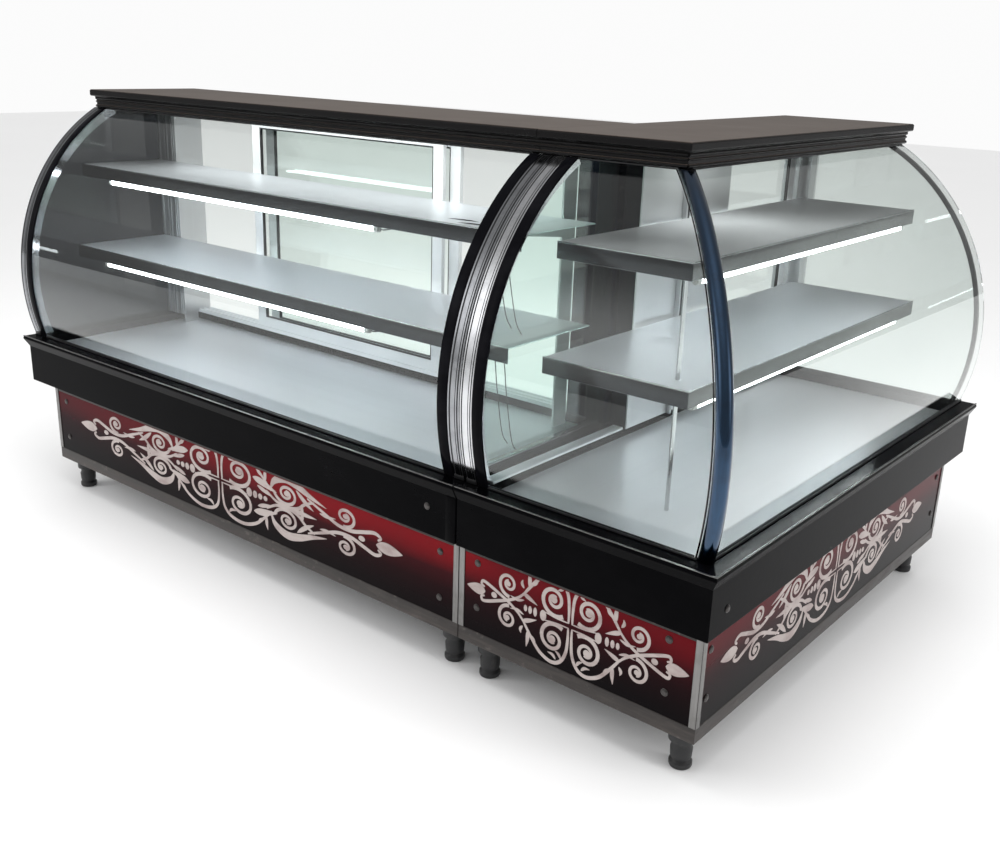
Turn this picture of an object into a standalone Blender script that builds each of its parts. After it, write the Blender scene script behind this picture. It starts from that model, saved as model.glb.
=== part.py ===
"""Curved glass display showcase: a long counter case and a corner return case.

The case stands on +Z = 0 with its origin at the middle of its footprint. The customer's side faces
-Y, and the return case runs back along the +X side. Places are measured from the near corner, where
the two curved fronts meet: "along" runs away from that corner, "depth" runs into the case.
All sizes are in metres.
"""

import math

import bmesh
import bpy
from mathutils import Vector

# Overall size
HEIGHT = 1.25
LENGTH = 2.52
RETURN_LENGTH = 1.52
SLAB_OVERHANG = 0.03
FOOTPRINT_DEPTH = RETURN_LENGTH + SLAB_OVERHANG
CASE_DEPTH = 0.66
SEAM = 0.663
SEAM_GAP = 0.001
GAP = 0.0003
CUT_REACH = 0.01

# Heights of the base, the tray and the top
BASE_BOTTOM = 0.10
RAIL_HEIGHT = 0.036
TRAY_BOTTOM = 0.344
LEDGE_TOP = 0.491
DECK_TOP = 0.465
DECK_THICKNESS = 0.004
SLAB_BOTTOM = 1.195

# Base
BASE_INSET = 0.028
BASE_REAR_INSET = 0.02
END_OVERHANG = 0.12
FRAME_WALL = 0.025
CORNER_POST = 0.016
TOP_RAIL = 0.014
BACK_SHEET = 0.003
PANEL_THICKNESS = 0.012
PANEL_RECESS = 0.001

# Feet
FOOT_INSET = 0.055
FOOT_RADIUS = 0.025
FOOT_CHAMFER = 0.004
FOOT_SHOULDER = 0.030
FOOT_NECK = 0.060
FOOT_NECK_WAIST = 0.003
FOOT_FLANGE = 0.066
FOOT_FLANGE_RIM = 0.005
FOOT_SIDES = 16

# Tray round the deck
FASCIA_INSET = 0.013
TRAY_WALL = 0.030
LIP_START_DROP = 0.033
LIP_FACE = 0.008
LIP_CHAMFER = 0.002
LEDGE_WIDTH = 0.060
FLANGE_THICKNESS = 0.006

# Curve of the glass, as a circle in the depth and height plane
CURVE_DEPTH = 0.611
CURVE_HEIGHT = 0.675
CURVE_RADIUS = 0.596
CURVE_STEPS = 20
GLASS_INSET = 0.003
GLASS_THICKNESS = 0.006
RIB_WIDTH = 0.035
RIB_DEPTH = 0.045
END_SETBACK = 0.003
CORNER_RIB_RADIUS = 0.017
CORNER_RIB_INSET = 0.012
CORNER_RIB_SIDES = 12
PANE_THICKNESS = 0.006
PANE_SETBACK = 0.015
SIDE_GLASS_SETBACK = 0.005
END_GLASS_INSET = 0.030
END_GLASS_SETBACK = 0.012

# Stone top
SLAB_FRONT = 0.308
SLAB_REAR = 0.705
MOULDING_INSET = 0.014
LIP_BOTTOM = 1.230
MOULDING_RISE = 0.008
MOULDING_STEP = 0.005
EDGE_ROUND = 0.003

# Rear posts, shelves and lamps
POST_FRONT = 0.60
POST_REAR = 0.655
LEFT_POST_WIDTH = 0.09
LEFT_POST_FRONT = 0.54
LEFT_POST_SETBACK = 0.015
RIGHT_POST_WIDTH = 0.124
RIGHT_POST_SETBACK = 0.005
INNER_POST_WIDTH = 0.058
END_POST_WIDTH = 0.050
END_POST_SETBACK = 0.008
END_POST_FRONT = 0.565
SHELF_THICKNESS = 0.003
SHELF_FOLD = 0.038
SHELF_REAR = 0.535
SHELF_END_GAP = 0.004
UPPER_SHELF = 1.02
LOWER_SHELF = 0.765
UPPER_SHELF_FRONT = 0.245
LOWER_SHELF_FRONT = 0.210
RETURN_SHELF_REAR = 0.585
LAMP_LENGTH = 1.175
LAMP_END = 2.345
RETURN_LAMP_START = 0.06
RETURN_LAMP_LENGTH = 1.10
LAMP_RADIUS = 0.008
LAMP_INSET = 0.018
LAMP_SIDES = 12
STAND_THICKNESS = 0.006
ARM_ROOT = 0.045
ARM_TIP = 0.014
ARM_SETBACK = 0.03
STAND_FRONT_GAP = 0.008
STAND_REAR_GAP = 0.002
RETURN_STAND_GAP = 0.003
NEAR_STAND = 0.80
FAR_STAND_SETBACK = 0.03
ROD_RADIUS = 0.005
ROD_CLEARANCE = 0.001
ROD_PLACE = 0.275

# Sliding doors at the back
TRACK_FRONT = 0.606
TRACK_REAR = 0.654
TRACK_BASE = 0.005
TRACK_FIN = 0.004
TRACK_LIP = 0.012
DOOR_THICKNESS = 0.014
INNER_DOOR = 0.612
OUTER_DOOR = 0.634
DOOR_STILE = 0.038
DOOR_WIDTH = 0.83
DOOR_GLASS = 0.004
LEFT_DOOR_START = 1.26
RIGHT_DOOR_START = 1.215
RETURN_DOOR_START = 1.0
RETURN_DOOR_GAP = 0.002
STEEL_PANEL_THICKNESS = 0.004

SMOOTH_ANGLE = math.radians(35)


def front_run(along, depth, height):
    """Place of a point on the long front: along goes left, depth goes back."""
    return Vector((LENGTH / 2 - along, -FOOTPRINT_DEPTH / 2 + depth, height))


def side_run(along, depth, height):
    """Place of a point on the return side: along goes back, depth goes left."""
    return Vector((LENGTH / 2 - depth, -FOOTPRINT_DEPTH / 2 + along, height))


def make_material(name, colour, roughness, metallic=0.0, alpha=1.0):
    """Principled material with one colour."""
    material = bpy.data.materials.new(name)
    material.use_nodes = True
    shader = material.node_tree.nodes["Principled BSDF"]
    shader.inputs["Base Color"].default_value = (*colour, 1.0)
    shader.inputs["Roughness"].default_value = roughness
    shader.inputs["Metallic"].default_value = metallic
    shader.inputs["Alpha"].default_value = alpha
    return material


def finish_object(name, mesh_data, material, origin=None):
    """Close a bmesh into a named object with outward faces, its origin at the given point."""
    bmesh.ops.recalc_face_normals(mesh_data, faces=mesh_data.faces)
    origin = Vector((0.0, 0.0, 0.0)) if origin is None else Vector(origin)
    bmesh.ops.translate(mesh_data, verts=mesh_data.verts, vec=-origin)
    mesh = bpy.data.meshes.new(name)
    mesh_data.to_mesh(mesh)
    mesh_data.free()
    mesh.materials.append(material)
    piece = bpy.data.objects.new(name, mesh)
    piece.location = origin
    bpy.context.collection.objects.link(piece)
    return piece


def shade_round(piece):
    """Smooth shading with sharp edges kept."""
    piece.data.shade_smooth()
    piece.data.set_sharp_from_angle(angle=SMOOTH_ANGLE)


def sweep(name, outline, start, end, run, material, origin=None):
    """Extrude an outline of (depth, height) points along a run.

    start and end are places along the run, or functions of the depth for a mitred end.
    """
    start_at = start if callable(start) else (lambda depth: start)
    end_at = end if callable(end) else (lambda depth: end)
    mesh_data = bmesh.new()
    ring = [mesh_data.verts.new((0.0, depth, height)) for depth, height in outline]
    face = mesh_data.faces.new(ring)
    extruded = bmesh.ops.extrude_face_region(mesh_data, geom=[face])
    far_verts = {item for item in extruded["geom"] if isinstance(item, bmesh.types.BMVert)}
    for vert in mesh_data.verts:
        depth, height = vert.co.y, vert.co.z
        along = end_at(depth) if vert in far_verts else start_at(depth)
        vert.co = run(along, depth, height)
    return finish_object(name, mesh_data, material, origin)


def block(name, along, depth, height, run, material, origin=None):
    """Rectangular block between two places on each of a run's three directions."""
    outline = [
        (depth[0], height[0]),
        (depth[1], height[0]),
        (depth[1], height[1]),
        (depth[0], height[1]),
    ]
    return sweep(name, outline, along[0], along[1], run, material, origin)


def make_cutter(piece, cutter):
    """Subtract a cutter from a piece with a Boolean, and hide the cutter."""
    cutter.hide_render = True
    cutter.display_type = "WIRE"
    cut = piece.modifiers.new(cutter.name, "BOOLEAN")
    cut.operation = "DIFFERENCE"
    cut.solver = "EXACT"
    cut.object = cutter


def cut_block(piece, name, along, depth, height, run):
    """Cut a rectangular opening in a piece."""
    make_cutter(piece, block(name, along, depth, height, run, piece.data.materials[0]))


def curve_point(inset, height):
    """Depth of the glass curve, moved inwards by inset, at a height."""
    radius = CURVE_RADIUS - inset
    rise = height - CURVE_HEIGHT
    return CURVE_DEPTH - math.sqrt(radius * radius - rise * rise)


def curve_heights(inset, bottom, top):
    """Heights that divide the curve into equal angles between two levels."""
    radius = CURVE_RADIUS - inset
    low = math.asin((bottom - CURVE_HEIGHT) / radius)
    high = math.asin((top - CURVE_HEIGHT) / radius)
    steps = range(CURVE_STEPS + 1)
    return [CURVE_HEIGHT + radius * math.sin(low + (high - low) * step / CURVE_STEPS) for step in steps]


def curve_line(inset, bottom, top):
    """Points of the glass curve from the bottom level to the top level."""
    return [(curve_point(inset, height), height) for height in curve_heights(inset, bottom, top)]


def curved_band(name, inset, thickness, start, end, run, material):
    """Curved sheet or rib that stands on the ledge and reaches the stone top."""
    bottom = LEDGE_TOP + GAP
    top = SLAB_BOTTOM - GAP
    outer = curve_line(inset, bottom, top)
    inner = curve_line(inset + thickness, bottom, top)
    band = sweep(name, outer + inner[::-1], start, end, run, material)
    shade_round(band)
    return band


def end_pane(name, inset, rear, along, run, material):
    """Flat pane across an end: curved at the front, straight at the back."""
    bottom = LEDGE_TOP + GAP
    top = SLAB_BOTTOM - GAP
    outline = curve_line(inset, bottom, top) + [(rear, top), (rear, bottom)]
    return sweep(name, outline, along, along + PANE_THICKNESS, run, material)


def rectangle_loop(mesh_data, corners, height):
    """Corner points of a rectangle at a height."""
    return [mesh_data.verts.new((x, y, height)) for x, y in corners]


def skin(mesh_data, loops):
    """Faces between loops of the same number of points, each to the next."""
    for loop, following in zip(loops, loops[1:]):
        for n in range(len(loop)):
            after = (n + 1) % len(loop)
            mesh_data.faces.new((loop[n], loop[after], following[after], following[n]))


def inset_corners(low, high, insets):
    """Corners of a rectangle after each side moves in: left, right, front, back."""
    left, right, front, back = insets
    x_low, x_high = low[0] + left, high[0] - right
    y_low, y_high = low[1] + front, high[1] - back
    return [(x_low, y_low), (x_high, y_low), (x_high, y_high), (x_low, y_high)]


def plan(near, far, run):
    """Lowest and highest corners on plan of a rectangle given as (along, depth) corners."""
    first = run(near[0], near[1], 0.0)
    second = run(far[0], far[1], 0.0)
    low = (min(first.x, second.x), min(first.y, second.y))
    high = (max(first.x, second.x), max(first.y, second.y))
    return low, high


# ---------------------------------------------------------------- materials


def make_materials():
    """The finishes of the showcase, by name."""
    return {
        "frame": make_material("dark_bronze_paint", (0.055, 0.048, 0.045), 0.45, 0.6),
        "panel": make_material("maroon_laminate", (0.16, 0.01, 0.015), 0.25),
        "fascia": make_material("black_gloss", (0.012, 0.012, 0.014), 0.15),
        "steel": make_material("brushed_steel", (0.62, 0.64, 0.66), 0.30, 1.0),
        "chrome": make_material("grooved_chrome", (0.70, 0.72, 0.74), 0.15, 1.0),
        "blue": make_material("blue_anodised", (0.03, 0.09, 0.22), 0.20, 0.9),
        "glass": make_material("clear_glass", (0.86, 0.93, 0.90), 0.03, 0.0, 0.20),
        "smoked": make_material("smoked_glass", (0.08, 0.09, 0.10), 0.05, 0.0, 0.75),
        "stone": make_material("polished_stone", (0.055, 0.050, 0.047), 0.22),
        "white": make_material("white_aluminium", (0.85, 0.86, 0.87), 0.35, 0.1),
        "post": make_material("dark_post_paint", (0.035, 0.040, 0.050), 0.35, 0.3),
        "lamp": make_material("lamp_white", (0.95, 0.97, 1.00), 0.40),
        "rubber": make_material("foot_rubber", (0.020, 0.020, 0.020), 0.60),
    }


# ---------------------------------------------------------------- base


def base_frame(name, along, depth, run, windows, material):
    """Welded base frame of rails and corner posts, open for a panel on some sides.

    windows names the sides that hold a panel: near and far across the run, start and end along it.
    The other sides are closed by a thin sheet welded to the outside of the rails.
    """
    top = TRAY_BOTTOM - GAP
    frame = block(name, along, depth, (BASE_BOTTOM, top), run, material)
    reach = CUT_REACH
    inner_along = (along[0] + FRAME_WALL, along[1] - FRAME_WALL)
    inner_depth = (depth[0] + FRAME_WALL, depth[1] - FRAME_WALL)
    hollow = (BASE_BOTTOM - reach, top + reach)
    cut_block(frame, name + "_hollow_cutter", inner_along, inner_depth, hollow, run)
    opening = (BASE_BOTTOM + RAIL_HEIGHT, top - TOP_RAIL)
    panel_along = (along[0] + CORNER_POST, along[1] - CORNER_POST)
    panel_depth = (depth[0] + CORNER_POST, depth[1] - CORNER_POST)
    for side in ("near", "far", "start", "end"):
        skin = -reach if side in windows else BACK_SHEET
        near_side = (depth[0] + skin, inner_depth[0] + reach)
        far_side = (inner_depth[1] - reach, depth[1] - skin)
        start_side = (along[0] + skin, inner_along[0] + reach)
        end_side = (inner_along[1] - reach, along[1] - skin)
        spans = {
            "near": (panel_along, near_side),
            "far": (panel_along, far_side),
            "start": (start_side, panel_depth),
            "end": (end_side, panel_depth),
        }
        side_along, side_depth = spans[side]
        cut_block(frame, f"{name}_{side}_cutter", side_along, side_depth, opening, run)
    return frame


def base_panel(name, along, depth, run, material):
    """Decorated panel that sits in an opening of the base frame."""
    low = BASE_BOTTOM + RAIL_HEIGHT + GAP
    high = TRAY_BOTTOM - GAP - TOP_RAIL - GAP
    return block(name, along, depth, (low, high), run, material)


def foot(name, along, depth, run, material):
    """Turned foot: a mounting flange, a neck and a tapered pad."""
    top = BASE_BOTTOM - GAP
    profile = [
        (0.0, 0.0),
        (FOOT_RADIUS - FOOT_CHAMFER, 0.0),
        (FOOT_RADIUS - FOOT_CHAMFER / 4, FOOT_CHAMFER),
        (FOOT_RADIUS, FOOT_SHOULDER),
        (FOOT_RADIUS - FOOT_NECK_WAIST, FOOT_NECK),
        (FOOT_RADIUS + FOOT_FLANGE_RIM, FOOT_FLANGE),
        (FOOT_RADIUS + FOOT_FLANGE_RIM, top),
        (0.0, top),
    ]
    centre = run(along, depth, 0.0)
    mesh_data = bmesh.new()
    verts = [mesh_data.verts.new((radius, 0.0, height)) for radius, height in profile]
    edges = [mesh_data.edges.new(pair) for pair in zip(verts, verts[1:])]
    bmesh.ops.spin(
        mesh_data,
        geom=verts + edges,
        cent=(0.0, 0.0, 0.0),
        axis=(0.0, 0.0, 1.0),
        angle=math.tau,
        steps=FOOT_SIDES,
        use_merge=True,
    )
    bmesh.ops.remove_doubles(mesh_data, verts=mesh_data.verts, dist=1e-5)
    bmesh.ops.translate(mesh_data, verts=mesh_data.verts, vec=centre)
    piece = finish_object(name, mesh_data, material, centre)
    shade_round(piece)
    return piece


def feet(prefix, along, depth, run, material):
    """Four feet under the corners of a base."""
    places = [
        (along[0] + FOOT_INSET, depth[0] + FOOT_INSET),
        (along[1] - FOOT_INSET, depth[0] + FOOT_INSET),
        (along[0] + FOOT_INSET, depth[1] - FOOT_INSET),
        (along[1] - FOOT_INSET, depth[1] - FOOT_INSET),
    ]
    for number, (foot_along, foot_depth) in enumerate(places, start=1):
        foot(f"{prefix}_foot_{number}", foot_along, foot_depth, run, material)


# ---------------------------------------------------------------- tray and deck


def tray(name, low, high, lips, material):
    """Ring round the deck: black fascia, flared ledge and an inner step that carries the deck.

    lips says for left, right, front and back whether that side carries the flared lip.
    """
    deck_bottom = DECK_TOP - DECK_THICKNESS
    profile = [
        (FASCIA_INSET, TRAY_BOTTOM),
        (FASCIA_INSET, LEDGE_TOP - LIP_START_DROP),
        (0.0, LEDGE_TOP - LIP_FACE),
        (LIP_CHAMFER, LEDGE_TOP),
        (LEDGE_WIDTH, LEDGE_TOP),
        (LEDGE_WIDTH, DECK_TOP + GAP),
        (TRAY_WALL, DECK_TOP + GAP),
        (TRAY_WALL, deck_bottom - GAP),
        (LEDGE_WIDTH, deck_bottom - GAP),
        (LEDGE_WIDTH, deck_bottom - GAP - FLANGE_THICKNESS),
        (TRAY_WALL, deck_bottom - GAP - FLANGE_THICKNESS),
        (TRAY_WALL, TRAY_BOTTOM),
    ]
    mesh_data = bmesh.new()
    loops = []
    for inset, height in profile:
        insets = [inset if lip else max(inset - FASCIA_INSET, 0.0) for lip in lips]
        loops.append(rectangle_loop(mesh_data, inset_corners(low, high, insets), height))
    skin(mesh_data, loops + loops[:1])
    return finish_object(name, mesh_data, material)


def deck(name, low, high, lips, material):
    """Steel display floor that lies on the tray's inner step."""
    insets = [TRAY_WALL + GAP if lip else TRAY_WALL + GAP - FASCIA_INSET for lip in lips]
    corners = inset_corners(low, high, insets)
    mesh_data = bmesh.new()
    face = mesh_data.faces.new([mesh_data.verts.new((x, y, DECK_TOP - DECK_THICKNESS)) for x, y in corners])
    extruded = bmesh.ops.extrude_face_region(mesh_data, geom=[face])
    raised = [item for item in extruded["geom"] if isinstance(item, bmesh.types.BMVert)]
    bmesh.ops.translate(mesh_data, verts=raised, vec=(0.0, 0.0, DECK_THICKNESS))
    return finish_object(name, mesh_data, material)


# ---------------------------------------------------------------- glass, ribs and top


def corner_rib(name, material):
    """Round rib that follows the mitre where the two curved fronts meet."""
    bottom = LEDGE_TOP + GAP
    top = SLAB_BOTTOM - GAP
    across = Vector((1.0, 1.0, 0.0)).normalized()
    centres = []
    for height in curve_heights(0.0, bottom, top):
        depth = curve_point(0.0, height) + CORNER_RIB_INSET
        centres.append(front_run(depth, depth, height))
    mesh_data = bmesh.new()
    loops = []
    last = len(centres) - 1
    for number, centre in enumerate(centres):
        before = centres[max(number - 1, 0)]
        after = centres[min(number + 1, last)]
        tangent = (after - before).normalized()
        outward = tangent.cross(across).normalized()
        verts = []
        for side in range(CORNER_RIB_SIDES):
            angle = math.tau * side / CORNER_RIB_SIDES
            offset = across * math.cos(angle) + outward * math.sin(angle)
            point = centre + offset * CORNER_RIB_RADIUS
            if number in (0, last):
                point += tangent * ((centre.z - point.z) / tangent.z)
            verts.append(mesh_data.verts.new(point))
        loops.append(verts)
    skin(mesh_data, loops)
    mesh_data.faces.new(loops[0])
    mesh_data.faces.new(loops[-1])
    rib = finish_object(name, mesh_data, material)
    shade_round(rib)
    return rib


def slab(name, low, high, moulded, material):
    """Stone top: a lip over a set-back moulding on the moulded sides."""
    profile = [
        (MOULDING_INSET, SLAB_BOTTOM),
        (MOULDING_INSET, LIP_BOTTOM - MOULDING_RISE),
        (MOULDING_INSET - MOULDING_STEP, LIP_BOTTOM),
        (LIP_CHAMFER, LIP_BOTTOM),
        (0.0, LIP_BOTTOM + EDGE_ROUND),
        (0.0, HEIGHT - EDGE_ROUND),
        (EDGE_ROUND, HEIGHT),
    ]
    mesh_data = bmesh.new()
    loops = []
    for inset, height in profile:
        insets = [inset if side else 0.0 for side in moulded]
        loops.append(rectangle_loop(mesh_data, inset_corners(low, high, insets), height))
    skin(mesh_data, loops)
    mesh_data.faces.new(loops[0])
    mesh_data.faces.new(loops[-1])
    return finish_object(name, mesh_data, material)


# ---------------------------------------------------------------- shelves and lamps


def shelf(name, along, depth, height, run, folded_start, material):
    """Steel shelf folded down at its front edge, and at its start where that end is free."""
    sheet = block(name, along, depth, (height - SHELF_FOLD, height), run, material)
    reach = CUT_REACH
    start = along[0] + SHELF_THICKNESS if folded_start else along[0] - reach
    inner_along = (start, along[1] + reach)
    inner_depth = (depth[0] + SHELF_THICKNESS, depth[1] + reach)
    inner_height = (height - SHELF_FOLD - reach, height - SHELF_THICKNESS)
    cut_block(sheet, name + "_under_cutter", inner_along, inner_depth, inner_height, run)
    return sheet


def lamp(name, along, depth, height, run, material):
    """Lamp tube along a run, just under the folded edge of a shelf."""
    centre = run((along[0] + along[1]) / 2, depth, height)
    direction = (run(along[1], depth, height) - run(along[0], depth, height)).normalized()
    mesh_data = bmesh.new()
    bmesh.ops.create_cone(
        mesh_data,
        cap_ends=True,
        segments=LAMP_SIDES,
        radius1=LAMP_RADIUS,
        radius2=LAMP_RADIUS,
        depth=along[1] - along[0],
    )
    turn = direction.to_track_quat("Z", "Y").to_matrix()
    bmesh.ops.rotate(mesh_data, verts=mesh_data.verts, cent=(0.0, 0.0, 0.0), matrix=turn)
    bmesh.ops.translate(mesh_data, verts=mesh_data.verts, vec=centre)
    tube = finish_object(name, mesh_data, material, centre)
    shade_round(tube)
    return tube


def stand(name, along, upright, arm_tips, run, material):
    """Upright bar with one tapered arm under each shelf, cut from one plate."""
    front, rear = upright
    bottom = LEDGE_TOP + GAP if rear > CASE_DEPTH - LEDGE_WIDTH else DECK_TOP + GAP
    outline = [(rear, bottom), (rear, SLAB_BOTTOM - GAP), (front, SLAB_BOTTOM - GAP)]
    for height, tip in arm_tips:
        top = height - SHELF_THICKNESS - GAP
        outline += [(front, top), (tip, top), (tip, top - ARM_TIP), (front, top - ARM_ROOT)]
    outline.append((front, bottom))
    return sweep(name, outline, along, along + STAND_THICKNESS, run, material)


def rod_hole(piece, height):
    """Clearance hole for the corner rod through a shelf."""
    mesh_data = bmesh.new()
    bmesh.ops.create_cone(
        mesh_data,
        cap_ends=True,
        segments=LAMP_SIDES,
        radius1=ROD_RADIUS + ROD_CLEARANCE,
        radius2=ROD_RADIUS + ROD_CLEARANCE,
        depth=2 * SHELF_FOLD,
    )
    centre = front_run(ROD_PLACE, ROD_PLACE, height)
    bmesh.ops.translate(mesh_data, verts=mesh_data.verts, vec=centre)
    hole = finish_object(piece.name + "_rod_cutter", mesh_data, piece.data.materials[0])
    make_cutter(piece, hole)


def corner_rod(name, material):
    """Upright rod from the deck that carries the free corners of the return shelves."""
    bottom = DECK_TOP + GAP
    top = UPPER_SHELF - SHELF_THICKNESS - GAP
    centre = front_run(ROD_PLACE, ROD_PLACE, (bottom + top) / 2)
    mesh_data = bmesh.new()
    bmesh.ops.create_cone(
        mesh_data,
        cap_ends=True,
        segments=LAMP_SIDES,
        radius1=ROD_RADIUS,
        radius2=ROD_RADIUS,
        depth=top - bottom,
    )
    bmesh.ops.translate(mesh_data, verts=mesh_data.verts, vec=centre)
    rod = finish_object(name, mesh_data, material, centre)
    shade_round(rod)
    return rod


# ---------------------------------------------------------------- sliding doors


def track(name, along, run, at_top, material):
    """Double channel that guides the doors, with its fins turned towards them."""
    base = SLAB_BOTTOM - GAP if at_top else LEDGE_TOP + GAP
    sign = -1.0 if at_top else 1.0
    middle = (TRACK_FRONT + TRACK_REAR) / 2
    fins = [
        (TRACK_FRONT, TRACK_FRONT + TRACK_FIN),
        (middle - TRACK_FIN / 2, middle + TRACK_FIN / 2),
        (TRACK_REAR - TRACK_FIN, TRACK_REAR),
    ]
    outline = [(TRACK_REAR, base), (TRACK_FRONT, base)]
    for start, end in fins:
        outline += [(start, base + sign * TRACK_LIP), (end, base + sign * TRACK_LIP)]
        if end < TRACK_REAR:
            outline.append((end, base + sign * TRACK_BASE))
            following = fins[fins.index((start, end)) + 1][0]
            outline.append((following, base + sign * TRACK_BASE))
    return sweep(name, outline, along[0], along[1], run, material)


def door(prefix, start, width, plane, run, frame_material, glass_material):
    """Sliding door: a frame of four bars and a pane, on an empty at the door's middle."""
    bottom = LEDGE_TOP + GAP + TRACK_BASE + GAP
    top = SLAB_BOTTOM - GAP - TRACK_BASE - GAP
    centre = run(start + width / 2, plane + DOOR_THICKNESS / 2, (bottom + top) / 2)
    holder = bpy.data.objects.new(prefix + "_slide", None)
    holder.location = centre
    bpy.context.collection.objects.link(holder)
    along = (start, start + width)
    depth = (plane, plane + DOOR_THICKNESS)
    frame = block(prefix + "_frame", along, depth, (bottom, top), run, frame_material, centre)
    inner_along = (along[0] + DOOR_STILE, along[1] - DOOR_STILE)
    inner_height = (bottom + DOOR_STILE, top - DOOR_STILE)
    through = (depth[0] - CUT_REACH, depth[1] + CUT_REACH)
    cut_block(frame, prefix + "_window_cutter", inner_along, through, inner_height, run)
    pane_along = (inner_along[0] + GAP, inner_along[1] - GAP)
    pane_height = (inner_height[0] + GAP, inner_height[1] - GAP)
    pane_start = plane + (DOOR_THICKNESS - DOOR_GLASS) / 2
    pane_depth = (pane_start, pane_start + DOOR_GLASS)
    pane = block(prefix + "_glass", pane_along, pane_depth, pane_height, run, glass_material, centre)
    for piece in (frame, pane):
        piece.parent = holder
        piece.location = (0.0, 0.0, 0.0)
    return frame, pane


# ---------------------------------------------------------------- the two cases


def long_case(finish):
    """The long case on the left, from the seam to its closed end."""
    start = SEAM + SEAM_GAP
    base_along = (start, LENGTH - END_OVERHANG)
    base_depth = (BASE_INSET, CASE_DEPTH - BASE_REAR_INSET)
    base_frame("a_base_frame", base_along, base_depth, front_run, ("near", "end"), finish["frame"])
    recess = (BASE_INSET + PANEL_RECESS, BASE_INSET + PANEL_RECESS + PANEL_THICKNESS)
    panel_along = (base_along[0] + CORNER_POST + GAP, base_along[1] - CORNER_POST - GAP)
    base_panel("a_front_panel", panel_along, recess, front_run, finish["panel"])
    outer = base_along[1] - PANEL_RECESS
    panel_depth = (base_depth[0] + CORNER_POST + GAP, base_depth[1] - CORNER_POST - GAP)
    base_panel("a_left_panel", (outer - PANEL_THICKNESS, outer), panel_depth, front_run, finish["panel"])
    feet("a", base_along, base_depth, front_run, finish["rubber"])

    low, high = plan((start, 0.0), (LENGTH, CASE_DEPTH), front_run)
    lips = (True, False, True, False)
    tray("a_tray", low, high, lips, finish["fascia"])
    deck("a_deck", low, high, lips, finish["steel"])

    left_end = LENGTH - END_SETBACK
    right_rib = (start, start + RIB_WIDTH)
    left_rib = (left_end - RIB_WIDTH, left_end)
    curved_band("a_right_rib", 0.0, RIB_DEPTH, *right_rib, front_run, finish["chrome"])
    curved_band("a_left_rib", 0.0, RIB_DEPTH, *left_rib, front_run, finish["chrome"])
    glass_along = (right_rib[1] + GAP, left_rib[0] - GAP)
    curved_band("a_front_glass", GLASS_INSET, GLASS_THICKNESS, *glass_along, front_run, finish["glass"])
    pane_inset = RIB_DEPTH + GAP
    right_pane = start + PANE_SETBACK
    left_pane = left_end - PANE_SETBACK - PANE_THICKNESS
    end_pane("a_right_glass", pane_inset, POST_FRONT - GAP, right_pane, front_run, finish["glass"])
    end_pane("a_left_glass", pane_inset, LEFT_POST_FRONT - GAP, left_pane, front_run, finish["smoked"])

    post_height = (LEDGE_TOP + GAP, SLAB_BOTTOM - GAP)
    left_post_end = LENGTH - LEFT_POST_SETBACK
    left_post = (left_post_end - LEFT_POST_WIDTH, left_post_end)
    right_post_start = start + RIGHT_POST_SETBACK
    right_post = (right_post_start, right_post_start + RIGHT_POST_WIDTH)
    left_depth = (LEFT_POST_FRONT, POST_REAR)
    right_depth = (POST_FRONT, POST_REAR)
    block("a_left_post", left_post, left_depth, post_height, front_run, finish["steel"])
    block("a_right_post", right_post, right_depth, post_height, front_run, finish["post"])

    shelf_along = (right_pane + PANE_THICKNESS + SHELF_END_GAP, left_pane - SHELF_END_GAP)
    levels = (("upper", UPPER_SHELF, UPPER_SHELF_FRONT), ("lower", LOWER_SHELF, LOWER_SHELF_FRONT))
    for level, height, front in levels:
        depth = (front, SHELF_REAR)
        shelf(f"a_{level}_shelf", shelf_along, depth, height, front_run, False, finish["steel"])
        lamp_along = (LAMP_END - LAMP_LENGTH, LAMP_END)
        lamp_height = height - SHELF_FOLD - GAP - LAMP_RADIUS
        lamp_depth = front + LAMP_INSET
        lamp(f"a_{level}_lamp", lamp_along, lamp_depth, lamp_height, front_run, finish["lamp"])
    arms = [(height, front + ARM_SETBACK) for level, height, front in levels]
    upright = (SHELF_REAR + STAND_FRONT_GAP, POST_FRONT - STAND_REAR_GAP)
    left_stand = left_post[0] - STAND_THICKNESS - GAP
    right_stand = right_post[1] + GAP
    stand("a_left_stand", left_stand, upright, arms, front_run, finish["steel"])
    stand("a_right_stand", right_stand, upright, arms, front_run, finish["steel"])

    track_along = (right_post[1] + GAP, left_post[0] - GAP)
    track("a_bottom_track", track_along, front_run, False, finish["white"])
    track("a_top_track", track_along, front_run, True, finish["white"])
    door("a_left_door", LEFT_DOOR_START, DOOR_WIDTH, INNER_DOOR, front_run, finish["white"], finish["glass"])
    door("a_right_door", RIGHT_DOOR_START, DOOR_WIDTH, OUTER_DOOR, front_run, finish["white"], finish["glass"])

    low, high = plan((SLAB_REAR + 2 * GAP, SLAB_FRONT), (LENGTH, SLAB_REAR), front_run)
    slab("a_slab", low, high, (True, False, True, False), finish["stone"])


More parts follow.
